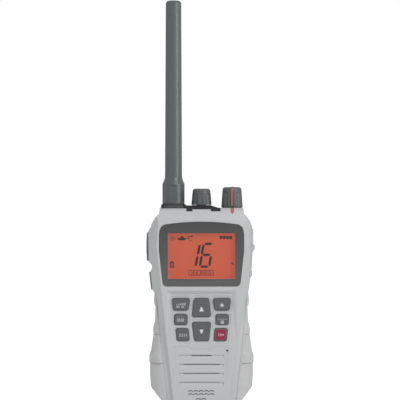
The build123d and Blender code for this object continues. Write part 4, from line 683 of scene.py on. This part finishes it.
def channel_number():
    """The large channel number."""
    mark = blank()
    join(mark, seven_segments("bc", 0.2), (-5.45, DIGIT_Z))
    join(mark, seven_segments("afgecd", 0.165), (3.15, DIGIT_Z))
    printed("channel_number", mark, "segment_ink", "case", LCD_Y)


def display_icons():
    """Small dark icons at the display's edges: a float, its ticks, signal blocks and a battery."""
    mark = blank()
    join(mark, patch([(-15.7, 110.6), (-14.8, 109.2), (-10.6, 109.2), (-9.8, 110.6),
                      (-11.3, 110.9), (-12.5, 112.3), (-13.7, 110.9)]))
    for tick in ((-8.3, 110.2), (-7.0, 109.0), (-7.0, 111.6), (-8.2, 111.4), (-5.9, 111.8)):
        join(mark, bar(1.0, 0.8, 0.1), tick)
    for k in range(4):
        join(mark, bar(1.85, 2.0, 0.1), (12.6 + k * 2.05, 111.0))
    join(mark, frame_box(2.7, 3.4, 0.85), (-18.9, 93.3))
    join(mark, bar(1.4, 0.7, 0.1), (-18.9, 95.4))
    join(mark, bar(0.8, 1.2, 0.1), (-18.9, 93.0))
    printed("display_icons", mark, "segment_ink", "case", LCD_Y)


def display_ghosts():
    """Faint segments that are off: a dial, a row of small cells under the number and an arrow."""
    mark = blank()
    dial = (-18.7, 110.2)
    join(mark, ring(1.1, 0.4), dial)
    join(mark, bar(1.4, 0.35, 0.3, math.pi / 2), dial)
    for k in range(6):
        cell = (-7.1 + k * 2.75, 88.4)
        join(mark, frame_box(2.35, 3.6, 0.6), cell)
        if k % 2:
            join(mark, bar(1.0, 0.5, 0.2), cell)
    join(mark, patch([(18.6, 94.3), (20.4, 95.2), (20.4, 93.4)]))
    printed("display_ghosts", mark, "ghost_ink", "case", LCD_Y)


channel_number()
display_icons()
display_ghosts()


# ---------------------------------------------------------------- legends of the keys
def arrow_legends():
    """Up and down arrows of the two middle keys."""
    up = patch([(-1.45, 63.7), (1.45, 63.7), (0.3, 66.6), (-0.3, 66.6)])
    printed("up_legend", up, "legend_ink", "key_up_body", KEY_Y)
    down = patch([(-0.3, 49.6), (0.3, 49.6), (1.3, 52.1), (-1.3, 52.1)])
    printed("down_legend", down, "legend_ink", "key_down_body", KEY_Y)


def lamp_legend():
    """A small sun for the light key."""
    mark = disc(0.8)
    for k in range(8):
        turn = k * math.pi / 4
        join(mark, bar(0.5, 0.34, 0.3, turn), (1.2 * math.cos(turn), 1.2 * math.sin(turn)))
    printed("lamp_legend", mark, "legend_ink", "key_light_body", KEY_Y, at=(13.1, 67.7))


def power_legend():
    """Rising bars over a broken line, for the output power key."""
    mark = blank()
    for k in range(5):
        tall = 1.0 + 0.22 * k
        join(mark, bar(tall, 0.7, 0.1, math.pi / 2), (-2.6 + k * 1.3, -0.8 + tall / 2))
    for length, x in ((2.3, -1.9), (1.9, 1.2)):
        join(mark, bar(length, 0.8, 0.2), (x, -1.7))
    printed("power_legend", mark, "faint_legend_ink", "key_power_level_body", KEY_Y,
            at=(-13.2, 68.3))


def watch_legend():
    """Two rings side by side under a row of dashes, for the double watch key."""
    mark = blank()
    for x in (-1.2, 1.2):
        join(mark, ring(0.88, 0.46), (x, 0))
        join(mark, disc(0.34, 10), (x, 0))
    for k in range(4):
        join(mark, bar(0.5, 0.32, 0.2), (-1.8 + 1.2 * k, 2.2))
    printed("watch_legend", mark, "faint_legend_ink", "key_watch_body", KEY_Y, at=(-13.5, 58.2))


def scan_legend():
    """Chevrons that run to a bar, for the scan key."""
    mark = blank()
    for k in range(3):
        join(mark, patch([(-0.6, 1.0), (0.0, 1.0), (0.65, 0.0), (0.0, -1.0), (-0.6, -1.0),
                          (0.05, 0.0)]), (-1.5 + k * 1.45, 0.0))
    join(mark, bar(2.0, 0.45, 0.1, math.pi / 2), (2.75, 0))
    printed("scan_legend", mark, "faint_legend_ink", "key_scan_body", KEY_Y, at=(-12.3, 48.5))


def lock_legend():
    """A padlock under a row of dashes, for the lock key."""
    mark = blank()
    join(mark, bar(2.3, 1.5, 0.1), (0, -0.9))
    join(mark, ring(0.72, 0.36, 0.0, 180.0, 12), (0, -0.1))
    for k in range(4):
        join(mark, bar(0.9, 0.42, 0.2), (-2.4 + 1.6 * k, 1.2))
    printed("lock_legend", mark, "faint_legend_ink", "key_lock_body", KEY_Y, at=(13.3, 57.5))


def sixteen_legend():
    """The channel number on the red key, and a plus beside it."""
    mark = numerals("16", 1.9, 0.15)
    arm, half = 0.6, 0.2
    plus = patch([(half, arm), (-half, arm), (-half, half), (-arm, half), (-arm, -half),
                  (-half, -half), (-half, -arm), (half, -arm), (half, -half), (arm, -half),
                  (arm, half), (half, half)])
    join(mark, plus, (2.3, 0.0))
    printed("sixteen_legend", mark, "pink_legend_ink", "key_sixteen_body", KEY_Y, at=(11.5, 48.8))


arrow_legends()
lamp_legend()
power_legend()
watch_legend()
scan_legend()
lock_legend()
sixteen_legend()


# ---------------------------------------------------------------- marks on the case
def squelch_index():
    """Red mark on the case below the squelch knob's pointer, drawn in towards its foot."""
    width, height = 2.2, 4.1
    mark = blank()
    bmesh.ops.create_grid(mark, x_segments=6, y_segments=24, size=0.5)
    for v in mark.verts:
        rise = v.co.y + 0.5
        v.co.x *= width * min(1.0, 0.15 + rise * 2.4)
        v.co.y *= height
    printed("squelch_index", mark, "red_ink", "case", over="front_cover", thickness=PAINT,
            at=(SQUELCH_X, 128.05))


def float_mark():
    """Rows of small waves, a plain sign that the radio floats."""
    pitch, crest, line = 3.4, 1.78, 0.7
    mark = blank()
    for height, count in ((12.6, 5), (10.6, 5), (7.5, 2)):
        for k in range(count):
            x = (k - (count - 1) / 2) * pitch
            join(mark, ring(crest, line, 37.0, 143.0, 12), (x, height - 1.3))
    printed("float_mark", mark, "grey_ink", "case", PANEL_Y, thickness=PAINT, at=(-0.3, 0.0))


squelch_index()
float_mark()


# ---------------------------------------------------------------- thin parts on the roof
EDGE_X = -10.3           # where the shape of the roof's front edge is read
EDGE_TOP = ROOF - 0.02   # the highest place to read it
EDGE_STEPS = 8           # how many steps a lip takes down the edge


def front_lip(name, finish, spans):
    """Thin lip that continues the plate over the roof's front edge, in spans.

    A span is given as its left and right ends and the height of its foot.
    """
    cover = surface_of("front_cover")
    bm = blank()
    for left, right, foot in spans:
        profile = [(SEAT_FRONT, ROOF, 0.0, 1.0), (BRINK_Y, ROOF, 0.0, 1.0)]
        for step in range(EDGE_STEPS + 1):
            z = EDGE_TOP + (foot - EDGE_TOP) * step / EDGE_STEPS
            hit, normal = seen_from_front(cover, EDGE_X * MM, z * MM)
            profile.append((hit.y / MM, z, normal.y, normal.z))
        inner, outer = ([bm.verts.new((left, y + dy * lift, z + dz * lift))
                         for y, z, dy, dz in profile] for lift in LIP_FACES)
        end = [bm.faces.new((inner[k], inner[k + 1], outer[k + 1], outer[k]))
               for k in range(len(profile) - 1)]
        bmesh.ops.translate(bm, vec=(right - left, 0, 0), verts=extruded(bm, end))
    in_metres(bm)
    add_piece(name, bm, finish, "case")


def squelch_felt():
    """Felt ring between the roof and the squelch knob."""
    inner, outer, low, high = 5.0, 6.5, ROOF + 0.02, ROOF + 0.38
    bm = blank()
    corners = [bm.verts.new((radius, 0, z)) for radius, z in
               ((inner, low), (outer, low), (outer, high), (inner, high))]
    edges = [bm.edges.new((corners[k - 1], corners[k])) for k in range(4)]
    bmesh.ops.spin(bm, geom=corners + edges, cent=(0, 0, 0), axis=(0, 0, 1), dvec=(0, 0, 0),
                   angle=math.tau, steps=64, use_merge=True)
    bmesh.ops.remove_doubles(bm, verts=bm.verts, dist=1e-4)
    bmesh.ops.translate(bm, vec=(SQUELCH_X, 0, 0), verts=bm.verts)
    in_metres(bm)
    add_piece("squelch_felt", bm, "knob_plastic", "case")


front_lip("plate_lip", "black_paint",
          ((-26.0, -24.3, 129.6), (-11.7, -9.65, 129.6), (-5.75, 5.9, 129.05)))
# Lip in front of the antenna's foot, in the grey of the painted sheen.
front_lip("sheen_lip", "sheen_grey_paint", ((-24.3, -11.7, 129.6),))
squelch_felt()


# ---------------------------------------------------------------- floor, light and camera
WHITE = (1.0, 1.0, 1.0, 1.0)
CAMERA_REACH = 1.6       # camera to the front panel, metres
VIEW_SIZE = 0.256        # what the camera sees across the front panel, metres
VIEW_MIDDLE = (-0.96, 135.04)    # x and z of the point it looks at, millimetres


def studio_floor():
    """A wide pale floor, lit up a little where the camera sees it."""
    bm = blank()
    bmesh.ops.create_circle(bm, cap_ends=True, segments=96, radius=6.0)
    floor = new_object("studio_floor", bm)
    tree, shader = new_finish("floor_paint")
    pale = tint(tree, noise(tree, spot(tree), 3.0), (0.90, 0.90, 0.90, 1), (0.92, 0.92, 0.92, 1))
    feed(tree, shader, {"Base Color": pale, "Roughness": 0.9, "Specular IOR Level": 0.0})
    glow = put(tree, "ShaderNodeEmission", {"Color": WHITE, "Strength": 0.6})
    lit = put(tree, "ShaderNodeAddShader", {0: shader.outputs[0], 1: glow.outputs[0]})
    rays = put(tree, "ShaderNodeLightPath").outputs["Is Camera Ray"]
    mixed_surface(tree, rays, shader, lit)
    floor.data.materials.append(FINISHES["floor_paint"])


def studio_light(name, stand, aim, size, power, diffuse=True, glossy=True):
    """A square soft light aimed at a point, that can be kept out of diffuse or glossy shading."""
    light = bpy.data.lights.new(name, "AREA")
    light.size = size
    light.energy = power
    holder = bpy.data.objects.new(name, light)
    holder.visible_diffuse = diffuse
    holder.visible_glossy = glossy
    holder.location = stand
    holder.rotation_euler = (Vector(aim) - Vector(stand)).to_track_quat("-Z", "Y").to_euler()
    bpy.context.scene.collection.objects.link(holder)


def studio_world():
    """White to the camera, and a softer grey light on the object."""
    world = bpy.data.worlds.new("studio")
    world.use_nodes = True
    bpy.context.scene.world = world
    tree = world.node_tree
    tree.nodes.clear()
    rays = put(tree, "ShaderNodeLightPath").outputs["Is Camera Ray"]
    seen = put(tree, "ShaderNodeBackground", {"Color": WHITE, "Strength": 1.0})
    lit = put(tree, "ShaderNodeBackground", {"Color": (0.97, 0.985, 1.0, 1), "Strength": 0.55})
    both = put(tree, "ShaderNodeMixShader", {0: rays, 1: lit.outputs[0], 2: seen.outputs[0]})
    put(tree, "ShaderNodeOutputWorld", {"Surface": both.outputs[0]})


def studio_camera():
    """Straight at the front, from far enough away that its sides stay hidden."""
    camera = bpy.data.cameras.new("camera")
    camera.sensor_width = 36.0
    camera.lens = camera.sensor_width * CAMERA_REACH / VIEW_SIZE
    holder = bpy.data.objects.new("camera", camera)
    x, z = VIEW_MIDDLE
    holder.location = (x * MM, PANEL_Y * MM - CAMERA_REACH, z * MM)
    holder.rotation_euler = (math.pi / 2, 0, 0)
    bpy.context.scene.collection.objects.link(holder)
    bpy.context.scene.camera = holder


studio_floor()
studio_light("key_light", (0.75, -1.0, 0.85), (0, 0, 0.12), 0.40, 7.4)
studio_light("fill_light", (-1.3, -0.7, 0.35), (0, 0, 0.08), 1.2, 3.2, glossy=False)
studio_light("rim_light", (1.1, 0.1, 0.5), (0, 0, 0.13), 0.5, 0.5)
studio_light("sheen_light", (1.15, -0.75, 0.30), (0, 0, 0.16), 0.35, 3.0, diffuse=False)
studio_world()
studio_camera()
bpy.context.scene.view_settings.view_transform = "Standard"
